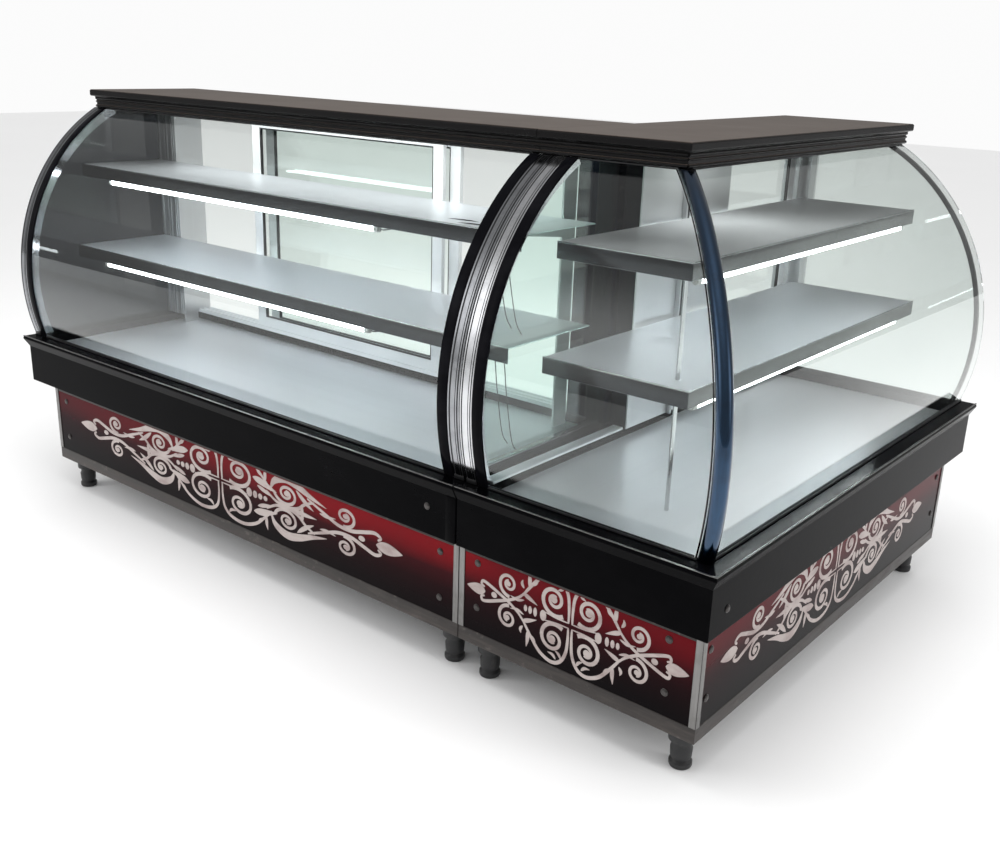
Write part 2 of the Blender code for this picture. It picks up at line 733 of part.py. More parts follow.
def return_case(finish):
    """The corner case on the right, curved at the front and along the return side."""
    end = SEAM - SEAM_GAP
    base_across = (BASE_INSET, end)
    base_back = (BASE_INSET, RETURN_LENGTH - END_OVERHANG)
    sides = ("near", "start", "end")
    base_frame("b_base_frame", base_back, base_across, side_run, sides, finish["frame"])
    outer = BASE_INSET + PANEL_RECESS
    recess = (outer, outer + PANEL_THICKNESS)
    across = (base_across[0] + CORNER_POST + GAP, base_across[1] - CORNER_POST - GAP)
    back = (base_back[0] + CORNER_POST + GAP, base_back[1] - CORNER_POST - GAP)
    base_panel("b_front_panel", across, recess, front_run, finish["panel"])
    base_panel("b_side_panel", back, recess, side_run, finish["panel"])
    far = base_back[1] - PANEL_RECESS
    base_panel("b_end_panel", (far - PANEL_THICKNESS, far), across, side_run, finish["panel"])
    feet("b", base_back, base_across, side_run, finish["rubber"])

    low, high = plan((0.0, 0.0), (RETURN_LENGTH, end), side_run)
    lips = (False, True, True, True)
    tray("b_tray", low, high, lips, finish["fascia"])
    deck("b_deck", low, high, lips, finish["steel"])

    left_rib = (end - RIB_WIDTH, end)
    curved_band("b_left_rib", 0.0, RIB_DEPTH, *left_rib, front_run, finish["chrome"])
    corner_rib("b_corner_rib", finish["blue"])

    def mitre(depth):
        return depth + math.sqrt(2.0) * CORNER_RIB_RADIUS + 2 * GAP

    glass_end = left_rib[0] - GAP
    curved_band("b_front_glass", GLASS_INSET, GLASS_THICKNESS, mitre, glass_end, front_run, finish["glass"])
    side_end = RETURN_LENGTH - SIDE_GLASS_SETBACK
    curved_band("b_side_glass", GLASS_INSET, GLASS_THICKNESS, mitre, side_end, side_run, finish["glass"])
    end_post_end = RETURN_LENGTH - END_POST_SETBACK
    end_post = (end_post_end - END_POST_WIDTH, end_post_end)
    end_glass = end_post_end - END_GLASS_SETBACK
    end_pane("b_end_glass", END_GLASS_INSET, END_POST_FRONT - GAP, end_glass, side_run, finish["glass"])

    post_height = (LEDGE_TOP + GAP, SLAB_BOTTOM - GAP)
    inner_post = (SEAM + SEAM_GAP - INNER_POST_WIDTH, SEAM + SEAM_GAP)
    track_depth = (TRACK_FRONT, TRACK_REAR)
    block("b_inner_post", inner_post, track_depth, post_height, side_run, finish["post"])
    block("b_end_post", end_post, (END_POST_FRONT, POST_REAR), post_height, side_run, finish["post"])
    steel_along = (inner_post[0], RETURN_DOOR_START + DOOR_STILE)
    steel_rear = TRACK_FRONT - GAP
    steel_depth = (steel_rear - STEEL_PANEL_THICKNESS, steel_rear)
    block("b_steel_panel", steel_along, steel_depth, post_height, side_run, finish["steel"])

    shelf_end = end_post[0] - SHELF_END_GAP
    levels = (("upper", UPPER_SHELF, UPPER_SHELF_FRONT), ("lower", LOWER_SHELF, LOWER_SHELF_FRONT))
    for level, height, front in levels:
        depth = (front, RETURN_SHELF_REAR)
        along = (front, shelf_end)
        sheet = shelf(f"b_{level}_shelf", along, depth, height, side_run, True, finish["steel"])
        if level == "lower":
            rod_hole(sheet, height)
        lamp_start = front + RETURN_LAMP_START
        lamp_along = (lamp_start, lamp_start + RETURN_LAMP_LENGTH)
        lamp_height = height - SHELF_FOLD - GAP - LAMP_RADIUS
        lamp_depth = front + LAMP_INSET
        lamp(f"b_{level}_lamp", lamp_along, lamp_depth, lamp_height, side_run, finish["lamp"])
    corner_rod("b_corner_rod", finish["chrome"])
    arms = [(height, front + ARM_SETBACK) for level, height, front in levels]
    upright = (RETURN_SHELF_REAR + RETURN_STAND_GAP, steel_depth[0] - GAP)
    stand("b_near_stand", NEAR_STAND, upright, arms, side_run, finish["steel"])
    stand("b_far_stand", end_post[0] - FAR_STAND_SETBACK, upright, arms, side_run, finish["steel"])

    track_along = (inner_post[1] + GAP, end_post[0] - GAP)
    track("b_bottom_track", track_along, side_run, False, finish["white"])
    track("b_top_track", track_along, side_run, True, finish["white"])
    width = track_along[1] - RETURN_DOOR_START - RETURN_DOOR_GAP
    door("b_door", RETURN_DOOR_START, width, INNER_DOOR, side_run, finish["white"], finish["glass"])

    low, high = plan((SLAB_FRONT, SLAB_FRONT), (FOOTPRINT_DEPTH, SLAB_REAR), side_run)
    slab("b_slab", low, high, (False, True, True, True), finish["stone"])


def build():
    """Clear the scene and build both cases."""
    for piece in list(bpy.data.objects):
        bpy.data.objects.remove(piece, do_unlink=True)
    finish = make_materials()
    long_case(finish)
    return_case(finish)


build()
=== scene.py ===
"""Looks of a curved glass display showcase: a long counter case and a corner return case.

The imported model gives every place. Places are written in the directions of a run: "along" goes away
from the near corner where the two curved fronts meet, "depth" goes into the case, and "height" up.
All sizes are in metres.
"""

import logging
import math
from collections.abc import Callable, Iterable, Mapping, Sequence
from dataclasses import dataclass
from enum import Enum

import bmesh
import bpy
from mathutils import Matrix, Quaternion, Vector


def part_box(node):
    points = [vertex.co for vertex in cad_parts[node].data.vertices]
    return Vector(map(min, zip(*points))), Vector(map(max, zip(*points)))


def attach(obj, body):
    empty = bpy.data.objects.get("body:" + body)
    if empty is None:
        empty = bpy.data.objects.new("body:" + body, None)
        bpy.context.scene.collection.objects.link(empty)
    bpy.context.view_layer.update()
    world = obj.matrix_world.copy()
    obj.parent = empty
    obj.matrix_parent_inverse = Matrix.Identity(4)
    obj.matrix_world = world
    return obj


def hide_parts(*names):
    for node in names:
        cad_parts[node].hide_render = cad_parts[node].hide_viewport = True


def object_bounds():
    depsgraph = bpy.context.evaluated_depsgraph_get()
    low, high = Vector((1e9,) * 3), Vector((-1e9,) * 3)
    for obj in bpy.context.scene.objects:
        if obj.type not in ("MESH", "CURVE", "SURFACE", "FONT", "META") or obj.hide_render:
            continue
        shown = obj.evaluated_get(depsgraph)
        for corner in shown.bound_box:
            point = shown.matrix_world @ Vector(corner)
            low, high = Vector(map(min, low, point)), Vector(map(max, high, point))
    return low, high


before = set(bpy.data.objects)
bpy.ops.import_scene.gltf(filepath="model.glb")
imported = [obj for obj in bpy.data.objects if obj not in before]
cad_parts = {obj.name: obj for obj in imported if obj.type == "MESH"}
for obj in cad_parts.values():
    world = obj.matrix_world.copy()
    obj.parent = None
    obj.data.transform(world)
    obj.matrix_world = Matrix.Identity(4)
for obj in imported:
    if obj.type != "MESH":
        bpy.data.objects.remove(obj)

CAD_LOW, CAD_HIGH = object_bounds()
NEAR_CORNER = Vector((CAD_HIGH.x, CAD_LOW.y, 0.0))
LOG = logging.getLogger("showcase")

Span = tuple[float, float]
Point = tuple[float, float]

# Circle of the curved glass, in the depth and height plane
CURVE_DEPTH = 0.611
CURVE_HEIGHT = 0.675
CURVE_RADIUS = 0.596
CURVE_STEPS = 64
CURVE_OVERRUN = math.radians(4)

# Levels that the glass housing stands between
GAP = 0.0003
LEDGE_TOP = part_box("a_tray")[1].z
SLAB_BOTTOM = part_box("a_slab")[0].z
GLASS_INSET = 0.003
GLASS_THICKNESS = 0.006
PANEL_FACE = 0.029
FASCIA_FACE = 0.013

# Lower and upper ends of the curved pieces, and the angles that their sweep overruns to
GLASS_BOTTOM = LEDGE_TOP + GAP
GLASS_TOP = SLAB_BOTTOM - GAP
CURVE_ANGLES = (
    math.asin((GLASS_BOTTOM - CURVE_HEIGHT) / CURVE_RADIUS) - CURVE_OVERRUN,
    math.asin((GLASS_TOP - CURVE_HEIGHT) / CURVE_RADIUS) + CURVE_OVERRUN,
)

SMOOTH_ANGLE = math.radians(32)
MERGE_DISTANCE = 1e-6

Geometry = bmesh.types.BMVert | bmesh.types.BMEdge | bmesh.types.BMFace


class Body(Enum):
    """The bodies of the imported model."""

    CASE = "case"
    LEFT_DOOR = "left_door"
    RIGHT_DOOR = "right_door"
    RETURN_DOOR = "return_door"


class Run(Enum):
    """The two customer sides, which meet at the near corner."""

    FRONT = "front"
    SIDE = "side"

    @property
    def matrix(self) -> Matrix:
        """Turn from (along, depth, height) into the model's own directions.

        Returns:
            The matrix of that turn.
        """
        if self is Run.FRONT:
            rows = ((-1, 0, 0, NEAR_CORNER.x), (0, 1, 0, NEAR_CORNER.y), (0, 0, 1, 0), (0, 0, 0, 1))
        else:
            rows = ((0, -1, 0, NEAR_CORNER.x), (1, 0, 0, NEAR_CORNER.y), (0, 0, 1, 0), (0, 0, 0, 1))
        return Matrix(rows)


@dataclass(frozen=True)
class Extent:
    """A box in a run's directions."""

    along: Span
    depth: Span
    height: Span

    @classmethod
    def of(cls, node: str, run: Run) -> "Extent":
        """The box of a CAD node.

        Args:
            node: Name of the CAD node.
            run: Run whose directions are used.

        Returns:
            The node's extent along, across and up that run.
        """
        inverse = run.matrix.inverted()
        ends = [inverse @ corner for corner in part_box(node)]
        spans = [(min(a, b), max(a, b)) for a, b in zip(*ends)]
        return cls(*spans)

    @property
    def centre(self) -> Vector:
        """Middle of the box."""
        return Vector([(low + high) / 2 for low, high in (self.along, self.depth, self.height)])

    @property
    def size(self) -> Vector:
        """Length of the box in each direction."""
        return Vector([high - low for low, high in (self.along, self.depth, self.height)])


def curve_depth(height: float, inset: float = 0.0) -> float:
    """Depth of the glass curve at a height.

    Args:
        height: Height above the floor.
        inset: How far inside the outer curve.

    Returns:
        The depth of the curve there.
    """
    radius = CURVE_RADIUS - inset
    return CURVE_DEPTH - math.sqrt(radius**2 - (height - CURVE_HEIGHT) ** 2)


# ---------------------------------------------------------------- shader nodes


class Signal:
    """A value carried by a node socket, with arithmetic that adds Math nodes."""

    def __init__(self, surface: "Surface", socket: bpy.types.NodeSocket) -> None:
        """Wrap one output socket of a surface's node tree."""
        self.surface = surface
        self.socket = socket

    def _math(self, operation: str, first: object, second: object = 0.0, clamp: bool = False) -> "Signal":
        """Add one Math node.

        Args:
            operation: The node's operation.
            first: First input, a signal or a number.
            second: Second input, a signal or a number.
            clamp: Whether the result is held between 0 and 1.

        Returns:
            The node's result.
        """
        settings = {"operation": operation, "use_clamp": clamp}
        return self.surface.node("ShaderNodeMath", settings, {0: first, 1: second})

    def __add__(self, other: object) -> "Signal":
        """Sum with a signal or a number."""
        return self._math("ADD", self, other)

    __radd__ = __add__

    def __sub__(self, other: object) -> "Signal":
        """Difference from a signal or a number."""
        return self._math("SUBTRACT", self, other)

    def __rsub__(self, other: object) -> "Signal":
        """A number less this signal."""
        return self._math("SUBTRACT", other, self)

    def __mul__(self, other: object) -> "Signal":
        """Product with a signal or a number."""
        return self._math("MULTIPLY", self, other)

    __rmul__ = __mul__

    def clamped(self) -> "Signal":
        """This signal held between 0 and 1."""
        return self._math("ADD", self, 0.0, clamp=True)

    def wave(self) -> "Signal":
        """Sine of this signal."""
        return self._math("SINE", self)

    def between(self, low: float, high: float) -> "Signal":
        """Smooth step of this signal from 0 at low to 1 at high."""
        inputs = {"Value": self, "From Min": low, "From Max": high}
        return self.surface.node("ShaderNodeMapRange", {"interpolation_type": "SMOOTHSTEP"}, inputs)


class Surface:
    """Node tree of one finish: a Principled shader and the nodes that feed it."""

    def __init__(self, name: str) -> None:
        """Make a material with an empty Principled shader.

        Args:
            name: Name of the material.
        """
        self.material = bpy.data.materials.new(name)
        self.material.use_nodes = True
        self.tree = self.material.node_tree
        self.shader = self.tree.nodes["Principled BSDF"]

    def node(
        self,
        kind: str,
        settings: Mapping[str, object] | None = None,
        inputs: Mapping[str | int, object] | None = None,
        output: str | int = 0,
    ) -> Signal:
        """Add one node of any type.

        Args:
            kind: The node's type name.
            settings: Its properties, or the stops of its colour ramp; they are set first.
            inputs: Values or signals for its sockets.
            output: The socket that is passed on.

        Returns:
            The signal of that output.
        """
        made = self.tree.nodes.new(kind)
        for key, value in (settings or {}).items():
            if key == "stops":
                self._set_stops(made.color_ramp, value)
            else:
                setattr(made, key, value)
        for key, value in (inputs or {}).items():
            self._feed(made.inputs[key], value)
        return Signal(self, made.outputs[output])

    @staticmethod
    def _set_stops(ramp: bpy.types.ColorRamp, stops: Sequence[tuple[float, Sequence[float]]]) -> None:
        """Give a colour ramp its stops.

        Args:
            ramp: The ramp.
            stops: Its stops, as (position, colour) pairs.
        """
        while len(ramp.elements) > len(stops):
            ramp.elements.remove(ramp.elements[-1])
        while len(ramp.elements) < len(stops):
            ramp.elements.new(1.0)
        for element, (position, colour) in zip(ramp.elements, stops):
            element.position = position
            element.color = (*colour, 1.0)

    def _feed(self, socket: bpy.types.NodeSocket, value: object) -> None:
        """Link a signal to a socket, or set the socket's own value.

        Args:
            socket: The socket.
            value: A signal, or the value to set.
        """
        if isinstance(value, Signal):
            self.tree.links.new(value.socket, socket)
        elif socket.type == "RGBA" and isinstance(value, tuple):
            socket.default_value = (*value[:3], 1.0)
        else:
            socket.default_value = value

    def set(self, **values: object) -> None:
        """Feed the shader's sockets, named with underscores for spaces."""
        for key, value in values.items():
            self._feed(self.shader.inputs[key.replace("_", " ")], value)

    def place(self, scale: Sequence[float] = (1.0, 1.0, 1.0)) -> Signal:
        """Object coordinates, stretched by a scale in each direction."""
        coordinates = self.node("ShaderNodeTexCoord", output="Object")
        return self.node("ShaderNodeMapping", None, {"Vector": coordinates, "Scale": scale})

    def axis(self, name: str) -> Signal:
        """One object coordinate, X, Y or Z, in metres."""
        coordinates = self.node("ShaderNodeTexCoord", output="Object")
        return self.node("ShaderNodeSeparateXYZ", None, {0: coordinates}, output=name)

    def noise(self, scale: Sequence[float], detail: float = 3.0, roughness: float = 0.55) -> Signal:
        """Fractal noise with a number of waves per metre in each direction."""
        inputs = {"Vector": self.place(scale), "Scale": 1.0, "Detail": detail, "Roughness": roughness}
        return self.node("ShaderNodeTexNoise", None, inputs, output="Fac")

    def mix(self, factor: object, first: object, second: object, blend: str = "MIX") -> Signal:
        """Colour mixed from two by a factor.

        Args:
            factor: Share of the second colour.
            first: Colour or signal at 0.
            second: Colour or signal at 1.
            blend: The node's blend type.

        Returns:
            The mixed colour.
        """
        settings = {"data_type": "RGBA", "blend_type": blend}
        return self.node("ShaderNodeMix", settings, {0: factor, 6: first, 7: second}, output=2)

    def ramp(self, factor: Signal, stops: Sequence[tuple[float, Sequence[float]]]) -> Signal:
        """Colour from a ramp of stops."""
        return self.node("ShaderNodeValToRGB", {"stops": stops}, {"Fac": factor}, output="Color")

    def bump(self, height: Signal, depth: float, strength: float = 1.0) -> None:
        """Feed the shader's normal from a height signal of a depth in metres."""
        inputs = {"Height": height, "Distance": depth, "Strength": strength}
        self.set(Normal=self.node("ShaderNodeBump", None, inputs, output="Normal"))


# ---------------------------------------------------------------- finishes

Colour = tuple[float, float, float]


@dataclass(frozen=True)
class Finish:
    """One finish of the showcase, made into a material once."""

    name: str
    slot: str

    def dress(self, surface: Surface) -> None:
        """Build the finish's nodes."""
        raise NotImplementedError

    @property
    def material(self) -> bpy.types.Material:
        """Material of the finish, made when first asked for.

        Returns:
            The material.
        """
        made = bpy.data.materials.get(self.name)
        if made is None:
            surface = Surface(self.name)
            self.dress(surface)
            made = surface.material
        return made


@dataclass(frozen=True)
class BrushedSteel(Finish):
    """Stainless sheet with a brushed grain, faint smears and soft dents."""

    grain: str = "X"
    tone: Colour = (0.60, 0.62, 0.64)
    roughness: float = 0.27
    metallic: float = 0.6

    def dress(self, surface: Surface) -> None:
        """Grain lines run along the sheet; smears change its gloss.

        Args:
            surface: Surface whose nodes are built.
        """
        across = tuple(0.9 if name == self.grain else 130.0 for name in "XYZ")
        grain = surface.noise(across, 1.0, 0.5)
        wider = tuple(0.12 * part + 0.15 for part in across)
        streaks = surface.noise(wider, 1.0, 0.5).between(0.20, 0.80)
        smear = surface.noise((3.0, 4.0, 3.5), 1.0, 0.4).between(0.20, 0.80)
        darker = tuple(0.76 * part for part in self.tone)
        lighter = tuple(1.12 * part for part in self.tone)
        lines = surface.mix((grain - 0.5) * 0.25 + 0.80, darker, self.tone)
        streaked = surface.mix(streaks * 0.16, lines, darker)
        smeared = surface.mix(smear * 0.12, streaked, lighter)
        surface.set(Base_Color=smeared, Metallic=self.metallic, Anisotropic=0.4)
        surface.set(Roughness=self.roughness + smear * 0.03 + (grain - 0.5) * 0.02)
        waves = surface.noise((2.5, 3.0, 2.5), 2.0, 0.5)
        surface.bump(grain * 0.01 + waves, 0.0008, 0.20)


@dataclass(frozen=True)
class PolishedMetal(Finish):
    """Polished channel or tube with drawn lines and handling marks."""

    tone: Colour = (0.40, 0.41, 0.43)
    edge_tone: Colour = (0.10, 0.105, 0.115)
    roughness: float = 0.12
    coat: float = 0.0

    def dress(self, surface: Surface) -> None:
        """Fine drawn lines in the bright tone, dulled in patches.

        Args:
            surface: Surface whose nodes are built.
        """
        drawn = surface.noise((260.0, 260.0, 9.0), 3.0, 0.6)
        marks = surface.noise((14.0, 14.0, 20.0), 4.0, 0.62).between(0.45, 0.75)
        lined = surface.mix((drawn - 0.35) * 0.9, self.tone, self.edge_tone)
        surface.set(Base_Color=surface.mix(marks * 0.28, lined, self.edge_tone), Metallic=1.0)
        surface.set(Roughness=self.roughness + marks * 0.13 + (drawn - 0.5) * 0.08)
        surface.set(Coat_Weight=self.coat, Coat_Roughness=0.06)
        surface.bump(drawn * 0.15 + marks * 0.1, 0.0006, 0.35)


@dataclass(frozen=True)
class GlossPaint(Finish):
    """Paint or laminate with orange peel, dust in the low spots and rubbed patches."""

    tone: Colour = (0.0010, 0.0010, 0.0014)
    worn_tone: Colour = (0.0050, 0.0048, 0.0055)
    roughness: float = 0.12
    metallic: float = 0.0
    specular: float = 0.025
    peel: float = 0.0002

    def dress(self, surface: Surface) -> None:
        """Tone clouded by wear, with gloss broken by fine scratches.

        Args:
            surface: Surface whose nodes are built.
        """
        cloud = surface.noise((5.0, 5.0, 11.0), 5.0, 0.65).between(0.42, 0.78)
        scratch = surface.noise((18.0, 18.0, 420.0), 3.0, 0.7).between(0.60, 0.74)
        dust = surface.noise((160.0, 160.0, 160.0), 2.0, 0.6).between(0.60, 0.82)
        clouded = surface.mix(cloud * 0.35, self.tone, self.worn_tone)
        surface.set(Base_Color=surface.mix(dust * 0.18 + scratch * 0.10, clouded, self.worn_tone))
        surface.set(Roughness=self.roughness + cloud * 0.10 + scratch * 0.12 + dust * 0.06)
        surface.set(Metallic=self.metallic, Specular_IOR_Level=self.specular)
        surface.bump(surface.noise((70.0, 70.0, 70.0), 2.0, 0.5) + scratch * 0.1, self.peel, 0.5)


@dataclass(frozen=True)
class WeldedPaint(Finish):
    """Dark bronze brushed-on paint over welded steel, scuffed along its length."""

    tone: Colour = (0.021, 0.018, 0.017)
    scuff_tone: Colour = (0.115, 0.098, 0.088)

    def dress(self, surface: Surface) -> None:
        """Streaks along the rails, with bare scuffs and dust low down.

        Args:
            surface: Surface whose nodes are built.
        """
        streak = surface.noise((9.0, 9.0, 70.0), 5.0, 0.7).between(0.42, 0.72)
        scuff = surface.noise((38.0, 38.0, 60.0), 4.0, 0.7).between(0.58, 0.70)
        low = 1 - surface.axis("Z").between(0.095, 0.150)
        shaded = surface.mix(streak * 0.34 + low * 0.20, self.tone, self.scuff_tone)
        surface.set(Base_Color=surface.mix(scuff * 0.35, shaded, (0.19, 0.17, 0.155)))
        surface.set(Metallic=0.35, Roughness=0.36 + streak * 0.20 + scuff * 0.12)
        surface.bump(streak * 0.5 + surface.noise((220.0, 220.0, 220.0), 2.0, 0.5) * 0.3, 0.0007, 0.6)


@dataclass(frozen=True)
class PolishedStone(Finish):
    """Polished dark stone: near black on its edges, with a painted taupe sheen and a duller gloss on its
    faces that look up.
    """

    tone: Colour = (0.0035, 0.0033, 0.0036)
    # Taupe of the faces that look up: a painted sheen.
    painted_top_sheen_tone: Colour = (0.082, 0.064, 0.053)
    fleck_tone: Colour = (0.20, 0.165, 0.14)

    def dress(self, surface: Surface) -> None:
        """Mineral grains and flecks, with a painted taupe sheen on the faces that look up.

        Args:
            surface: Surface whose nodes are built.
        """
        cells = {"Vector": surface.place(), "Scale": 420.0}
        grains = surface.node("ShaderNodeTexVoronoi", None, cells, "Distance")
        cloud = surface.noise((7.0, 7.0, 7.0), 5.0, 0.6)
        flecks = surface.noise((300.0, 300.0, 300.0), 2.0, 0.6).between(0.62, 0.72)
        normal = surface.node("ShaderNodeNewGeometry", output="Normal")
        # Painted sheen: faces that look up are mixed towards a lighter taupe tone and show their flecks more;
        # they are also rougher.
        upward = surface.node("ShaderNodeSeparateXYZ", None, {0: normal}, output="Z").between(0.6, 0.95)
        painted_top_sheen = surface.mix((cloud - 0.3) * 0.9, self.painted_top_sheen_tone, tuple(0.72 * part for part in self.painted_top_sheen_tone))
        ground = surface.mix(grains * 0.5, self.tone, (0.0070, 0.0065, 0.0065))
        faced = surface.mix(upward, ground, painted_top_sheen)
        surface.set(Base_Color=surface.mix(flecks * (0.03 + upward * 0.16), faced, self.fleck_tone))
        surface.set(Roughness=0.14 + upward * 0.16 + cloud * 0.08, Specular_IOR_Level=0.13)
        surface.bump(cloud + grains * 0.1, 0.0012, 0.25)


@dataclass(frozen=True)
class Laminate(Finish):
    """Gloss laminate with a print that fades from red at the top, through maroon, to black at the bottom,
    under painted light and shade along its length.
    """

    bottom: float = 0.136
    top: float = 0.330
    red: Colour = (0.20, 0.006, 0.010)
    seam: float = 0.60
    # Where the painted light on the print starts and ends across the panels.
    painted_light_start: float = -1.15
    painted_light_end: float = 0.55

    def dress(self, surface: Surface) -> None:
        """Height gives the fade of the print; painted light brightens the red towards the near corner, and
        painted shade darkens it past the seam and at the round corner.

        Args:
            surface: Surface whose nodes are built.
        """
        ripple = surface.noise((2.2, 2.2, 5.0), 3.0, 0.5)
        level = surface.axis("Z").between(self.bottom, self.top)
        fade = (level + (ripple - 0.5) * 0.22).clamped()
        # Painted light: share of the lit copy of the print, rising towards the near corner.
        painted_light_share = surface.axis("X").between(self.painted_light_start, self.painted_light_end)
        maroon = (0.034, 0.0035, 0.0055)
        lit_print_stops = (
            (0.0, (0.003, 0.0015, 0.002)), (0.35, (0.012, 0.002, 0.003)), (0.66, maroon), (1.0, self.red),
        )
        shaded_print_stops = (
            (0.0, (0.002, 0.0015, 0.002)), (0.5, (0.010, 0.002, 0.003)), (1.0, (0.040, 0.003, 0.006)),
        )
        # Lit copy and shaded copy of the print: painted light and painted shade.
        glow = surface.ramp(fade, lit_print_stops)
        shaded_print = surface.ramp(fade, shaded_print_stops)
        speck = surface.noise((240.0, 240.0, 240.0), 2.0, 0.6).between(0.64, 0.8)
        # Painted shade past the seam and at the round corner.
        beyond = surface.axis("X").between(self.seam - 0.02, self.seam + 0.15)
        corner_painted_shade = surface.axis("X").between(1.205, 1.230)
        print_and_painted_light = surface.mix(painted_light_share * 0.85 + 0.15 - beyond * 0.52 - corner_painted_shade * 0.24, shaded_print, glow)
        surface.set(Base_Color=surface.mix(speck * 0.08, print_and_painted_light, (0.045, 0.025, 0.025)))
        surface.set(Roughness=0.13 + ripple * 0.12 + speck * 0.1, Specular_IOR_Level=0.05)
        surface.bump(ripple, 0.0015, 0.25)


@dataclass(frozen=True)
class SilverInlay(Finish):
    """Silver film of the scroll ornament, tinted where it tarnishes."""

    tone: Colour = (0.46, 0.40, 0.38)
    tint: Colour = (0.25, 0.175, 0.17)

    def dress(self, surface: Surface) -> None:
        """Satin film with a fine crinkle and darker patches.

        Args:
            surface: Surface whose nodes are built.
        """
        patch = surface.noise((12.0, 12.0, 26.0), 4.0, 0.6).between(0.40, 0.75)
        crinkle = surface.noise((420.0, 420.0, 420.0), 3.0, 0.6)
        surface.set(Base_Color=surface.mix(patch * 0.75, self.tone, self.tint))
        surface.set(Metallic=0.30, Roughness=0.34 + crinkle * 0.16)
        surface.bump(crinkle, 0.0003, 0.6)


@dataclass(frozen=True)
class ClearGlass(Finish):
    """Toughened glass with a faint green cast."""

    tint: Colour = (0.93, 0.975, 0.955)
    clouded_tint: Colour = (0.88, 0.935, 0.915)
    specular: float = 0.16

    def dress(self, surface: Surface) -> None:
        """Clear body with faint wiping marks in its gloss.

        Args:
            surface: Surface whose nodes are built.
        """
        wipe = surface.noise((3.0, 3.0, 4.0), 5.0, 0.62).between(0.46, 0.80)
        surface.set(Base_Color=surface.mix(wipe * 0.4, self.tint, self.clouded_tint))
        surface.set(Transmission_Weight=1.0, IOR=1.46, Roughness=wipe * 0.004)
        surface.set(Specular_IOR_Level=self.specular)


@dataclass(frozen=True)
class Diffuser(Finish):
    """Opal lamp tube that glows cool white."""

    strength: float = 17.0

    def dress(self, surface: Surface) -> None:
        """Glow that falls a little where the diodes are further apart.

        Args:
            surface: Surface whose nodes are built.
        """
        diodes = (surface.axis("X") * 380.0).wave() * 0.04 + (surface.axis("Y") * 380.0).wave() * 0.04
        glow = surface.mix((diodes + 0.1).clamped(), (0.95, 0.98, 1.0), (0.80, 0.90, 1.0))
        surface.set(Base_Color=(0.95, 0.97, 1.0), Roughness=0.4)
        surface.set(Emission_Color=glow, Emission_Strength=self.strength)


@dataclass(frozen=True)
class Moulded(Finish):
    """Moulded rubber or plastic with a fine grain and dusty hollows."""

    tone: Colour = (0.012, 0.012, 0.013)
    dust_tone: Colour = (0.075, 0.070, 0.066)
    roughness: float = 0.42

    def dress(self, surface: Surface) -> None:
        """Grain in the bump, dust in the colour.

        Args:
            surface: Surface whose nodes are built.
        """
        dust = surface.noise((45.0, 45.0, 30.0), 4.0, 0.65).between(0.50, 0.80)
        grain = surface.noise((1200.0, 1200.0, 1200.0), 2.0, 0.5)
        surface.set(Base_Color=surface.mix(dust * 0.45, self.tone, self.dust_tone))
        surface.set(Roughness=self.roughness + dust * 0.2 + (grain - 0.5) * 0.1)
        surface.bump(grain, 0.0003, 0.5)


@dataclass(frozen=True)
class FloorPaint(Finish):
    """Plain pale studio floor."""

    def dress(self, surface: Surface) -> None:
        """Even tone with a very faint mottling."""
        mottle = surface.noise((1.2, 1.2, 1.2), 3.0, 0.5)
        surface.set(Base_Color=surface.mix(mottle, (0.93, 0.93, 0.93), (0.95, 0.95, 0.95)), Roughness=0.6)


STEEL_FRONT = BrushedSteel("steel_brushed_front", "steel", "X", (0.80, 0.83, 0.87), 0.34, 0.55)
STEEL_SIDE = BrushedSteel("steel_brushed_side", "steel", "Y", (0.81, 0.83, 0.85), 0.34, 0.55)
STEEL_UPRIGHT = BrushedSteel("steel_brushed_upright", "steel", "Z", (0.62, 0.63, 0.64), 0.30, 0.75)
# Dark copies of the brushed steel for the shelves' folded fronts: painted shade, deeper on the front run than
# on the side run.
STEEL_FOLD_SHADE_FRONT = BrushedSteel("steel_fold_front_painted_shade", "steel", "X", (0.055, 0.057, 0.064), 0.20, 0.85)
STEEL_FOLD_SHADE_SIDE = BrushedSteel("steel_fold_side_painted_shade", "steel", "Y", (0.24, 0.245, 0.25), 0.22, 0.8)
# Painted reflection: a darker copy of the bright chrome, for the dark room that the long case's ribs reflect.
CHROME_PAINTED_SHADE = PolishedMetal("chrome_channel_painted_shade", "chrome")
BRIGHT = PolishedMetal("chrome_bright", "chrome", (0.72, 0.73, 0.75), (0.40, 0.41, 0.43), 0.13)
BLUE = PolishedMetal("blue_tube_paint", "blue", (0.011, 0.050, 0.112), (0.003, 0.010, 0.028), 0.14, 0.9)
BLACK = GlossPaint("black_gloss_sheet", "fascia")
BORDER = GlossPaint("black_glass_border", "fascia", (0.003, 0.003, 0.004), (0.015, 0.015, 0.018), 0.08)
NAVY = GlossPaint("navy_post_paint", "post", (0.006, 0.008, 0.015), (0.018, 0.021, 0.032), 0.26)
GREY_POST = GlossPaint("grey_post_paint", "post", (0.018, 0.019, 0.022), (0.036, 0.037, 0.040), 0.34)
WHITE = GlossPaint("white_coated_section", "white", (0.78, 0.79, 0.80), (0.62, 0.63, 0.64), 0.30, 0.0, 0.5)
TRIM = PolishedMetal("grey_corner_trim", "frame", (0.26, 0.255, 0.25), (0.12, 0.115, 0.11), 0.30)
SCREW = PolishedMetal("screw_plate", "frame", (0.105, 0.098, 0.095), (0.040, 0.037, 0.036), 0.32)
FRAME = WeldedPaint("bronze_base_paint", "frame")
STONE = PolishedStone("polished_dark_stone", "stone")
LAMINATE = Laminate("red_fade_laminate", "panel")
INLAY = SilverInlay("silver_scroll_film", "panel")
GLASS = ClearGlass("clear_toughened_glass", "glass")
